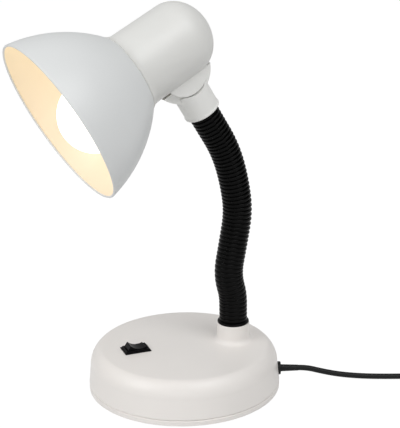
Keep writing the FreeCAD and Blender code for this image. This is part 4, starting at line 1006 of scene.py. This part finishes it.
# The inside's coat: a cream copy of the white coat plus painted bulb light, both painted light.
painted_bulb_light_coat = coated(
    "painted_bulb_light_coat", tint(234, 222, 198), (0.10, 0.055, 0.05, 1), (0.20, 0.15, 0.08, 1)
)
placed(shade, "head", "white_enamel", shade_coat, "lamp_shade")
shade.data.materials.append(painted_bulb_light_coat)
head_axis = (head_frame.to_3x3() @ Vector((0, 1, 0))).normalized()
# Faces inside the bell take the coat with the painted bulb light.
head_mouth = head_frame.translation * MM
for face in shade.data.polygons:
    along = (face.center - head_mouth).dot(head_axis)
    out = face.center - head_mouth - head_axis * along
    inside = face.normal.dot(out) < 0 or face.normal.dot(head_axis) < -0.7
    face.material_index = 1 if inside and along > sheet_metal * MM else 0


# Bulb: a globe of frosted glass on a screw cap, lit. The holder, its bracket and the screws
# behind it keep their own shapes.
globe_place = head_frame @ at(y=globe_along, z=-globe_drop) @ turn(globe_tilt, "X") @ ALONG_Y
globe_radius = 27.5
neck_from = 16.0
neck_end = 44.0
neck_end_radius = 12.8
neck_bow = 50.6
globe_steps = 40
globe_sweep = math.pi - math.acos(neck_from / globe_radius)
globe_outline = [(0, -globe_radius)]
for step in range(1, globe_steps + 1):
    angle = globe_sweep * step / globe_steps
    globe_outline.append((globe_radius * math.sin(angle), -globe_radius * math.cos(angle)))
bow(globe_outline, (neck_end_radius, neck_end), -neck_bow, 14)
globe_outline += [(0, neck_end)]
globe = lathed("bulb_glass", globe_outline, globe_place, 128)
settle(globe)


def lit_glass(place):
    frost = place.speckle(0.6, 3)
    return {
        "Base Color": frost.between(tint(246, 243, 236), tint(252, 250, 246)),
        "Roughness": 0.34 + frost * 0.1,
        "Emission Color": frost.between((1.0, 0.955, 0.88, 1), (1.0, 0.975, 0.93, 1)),
    }


frosted = finish("frosted", {"Emission Strength": 0.91, "Specular IOR Level": 0.5}, lit_glass)
placed(globe, "head", "frosted_glass", frosted, "bulb_globe")


# Pieces inside: they keep the shapes they were built with, and each gets the finish that it is
# made in.
zinc = plated("zinc", (0.62, 0.63, 0.64, 1), 0.34)
raw_steel = plated("raw_steel", (0.42, 0.42, 0.43, 1), 0.42)
brass = plated("brass", (0.70, 0.50, 0.20, 1), 0.28)
block_moulding = moulded("block_moulding", tint(226, 222, 208), 0.45, 0.45)
wire_skin = moulded("wire_skin", tint(74, 96, 142), 0.4, 0.45)
holder_moulding = moulded("holder_moulding", tint(36, 34, 33), 0.5, 0.25)
pad_rubber = supple("pad_rubber", tint(48, 48, 50), 0.62)
inner_finishes = (
    (pad_rubber, ["foot_pads"]),
    (raw_steel, ["ballast_plate", "neck_core_foot", "neck_core_top"]),
    (raw_steel, [f"neck_core_{link}" for link in range(1, links + 1)]),
    (zinc, ["base_cover_screws", "neck_washer", "neck_nut", "knuckle_bolt", "knuckle_nut"]),
    (zinc, ["friction_washers", "holder_bracket", "shade_screws"]),
    (brass, ["terminal_inserts", "switch_blades", "thread_shell", "centre_contact", "bulb_tip"]),
    (nickel, ["bulb_cap"]),
    (block_moulding, ["terminal_block"]),
    (wire_skin, ["switch_wires"]),
    (holder_moulding, ["lamp_holder"]),
    (black_sheath, ["base_lead", "neck_lead"]),
)
for material, names in inner_finishes:
    for name in names:
        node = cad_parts[name]
        node.data.materials.clear()
        node.data.materials.append(material)


# Studio: a pale floor that shows white, even sky light and three soft lamps, at a level where a
# colour shows about as it is written.
camera_spot = Vector((0.92472, -0.21516, 0.45594))
view_way = Vector((-0.92132, 0.22886, -0.31432)).normalized()
view_right = Vector((0.24515, 0.96940, -0.01276)).normalized()
view_up = view_right.cross(view_way)
camera_data = bpy.data.cameras.new("camera")
camera_data.sensor_fit = "HORIZONTAL"
camera_data.sensor_width = 36.0
camera_data.lens = 118.25
camera = bpy.data.objects.new("camera", camera_data)
camera.matrix_world = Matrix((
    (view_right.x, view_up.x, -view_way.x, camera_spot.x),
    (view_right.y, view_up.y, -view_way.y, camera_spot.y),
    (view_right.z, view_up.z, -view_way.z, camera_spot.z),
    (0, 0, 0, 1),
))
bpy.context.scene.collection.objects.link(camera)
bpy.context.scene.camera = camera


def rays(tree):
    """Whether the camera, and whether a gloss, looks along this ray."""
    seen = Tone.node(tree, "ShaderNodeLightPath", {}, {}, "Is Camera Ray")
    mirrored = Tone.node(tree, "ShaderNodeLightPath", {}, {}, "Is Glossy Ray")
    return seen, mirrored


floor_side = 8000.0
floor_depth = 20.0
floor = slab("floor", floor_side, floor_side, -floor_depth, 0.0)
floor_paint = bpy.data.materials.new("floor_paint")
floor_paint.use_nodes = True
tree = floor_paint.node_tree
paint = tree.nodes["Principled BSDF"]
paint.inputs["Base Color"].default_value = (0.72, 0.72, 0.72, 1)
paint.inputs["Roughness"].default_value = 0.9
paint.inputs["Specular IOR Level"].default_value = 0.1
white_glow = Tone.node(tree, "ShaderNodeEmission", {}, {"Color": (1, 1, 1, 1), "Strength": 1.12})
seen, mirrored = rays(tree)
mixed = Tone.node(tree, "ShaderNodeMixShader", {}, {
    0: seen * 0.86 + mirrored * 0.55,
    1: Tone(tree, paint.outputs[0]),
    2: white_glow,
})
tree.links.new(mixed.socket, tree.nodes["Material Output"].inputs["Surface"])
floor.data.materials.append(floor_paint)

sky = bpy.data.worlds.new("sky")
sky.use_nodes = True
tree = sky.node_tree
background = tree.nodes["Background"]
seen, mirrored = rays(tree)
tree.links.new((0.47 + seen * 0.53 + mirrored * 0.10).socket, background.inputs["Strength"])
background.inputs["Color"].default_value = (1, 1, 1, 1)
bpy.context.scene.world = sky


def soft_lamp(name, spot, aim, size, power):
    """A square soft box that faces a point."""
    data = bpy.data.lights.new(name, "AREA")
    data.shape = "SQUARE"
    data.size = size
    data.energy = power
    lamp = bpy.data.objects.new(name, data)
    lamp.location = spot
    lamp.rotation_euler = (Vector(aim) - Vector(spot)).to_track_quat("-Z", "Y").to_euler()
    bpy.context.scene.collection.objects.link(lamp)


lamp_aim = (0.0, 0.0, 0.14)
lamp_size = 0.8
soft_lamp("key", (0.75, 0.35, 1.25), lamp_aim, lamp_size, 6.5)
soft_lamp("side", (0.40, -1.15, 0.90), lamp_aim, lamp_size, 6.9)
soft_lamp("front", (1.45, -0.40, 0.40), lamp_aim, lamp_size, 1.5)

bpy.context.scene.view_settings.view_transform = "Standard"
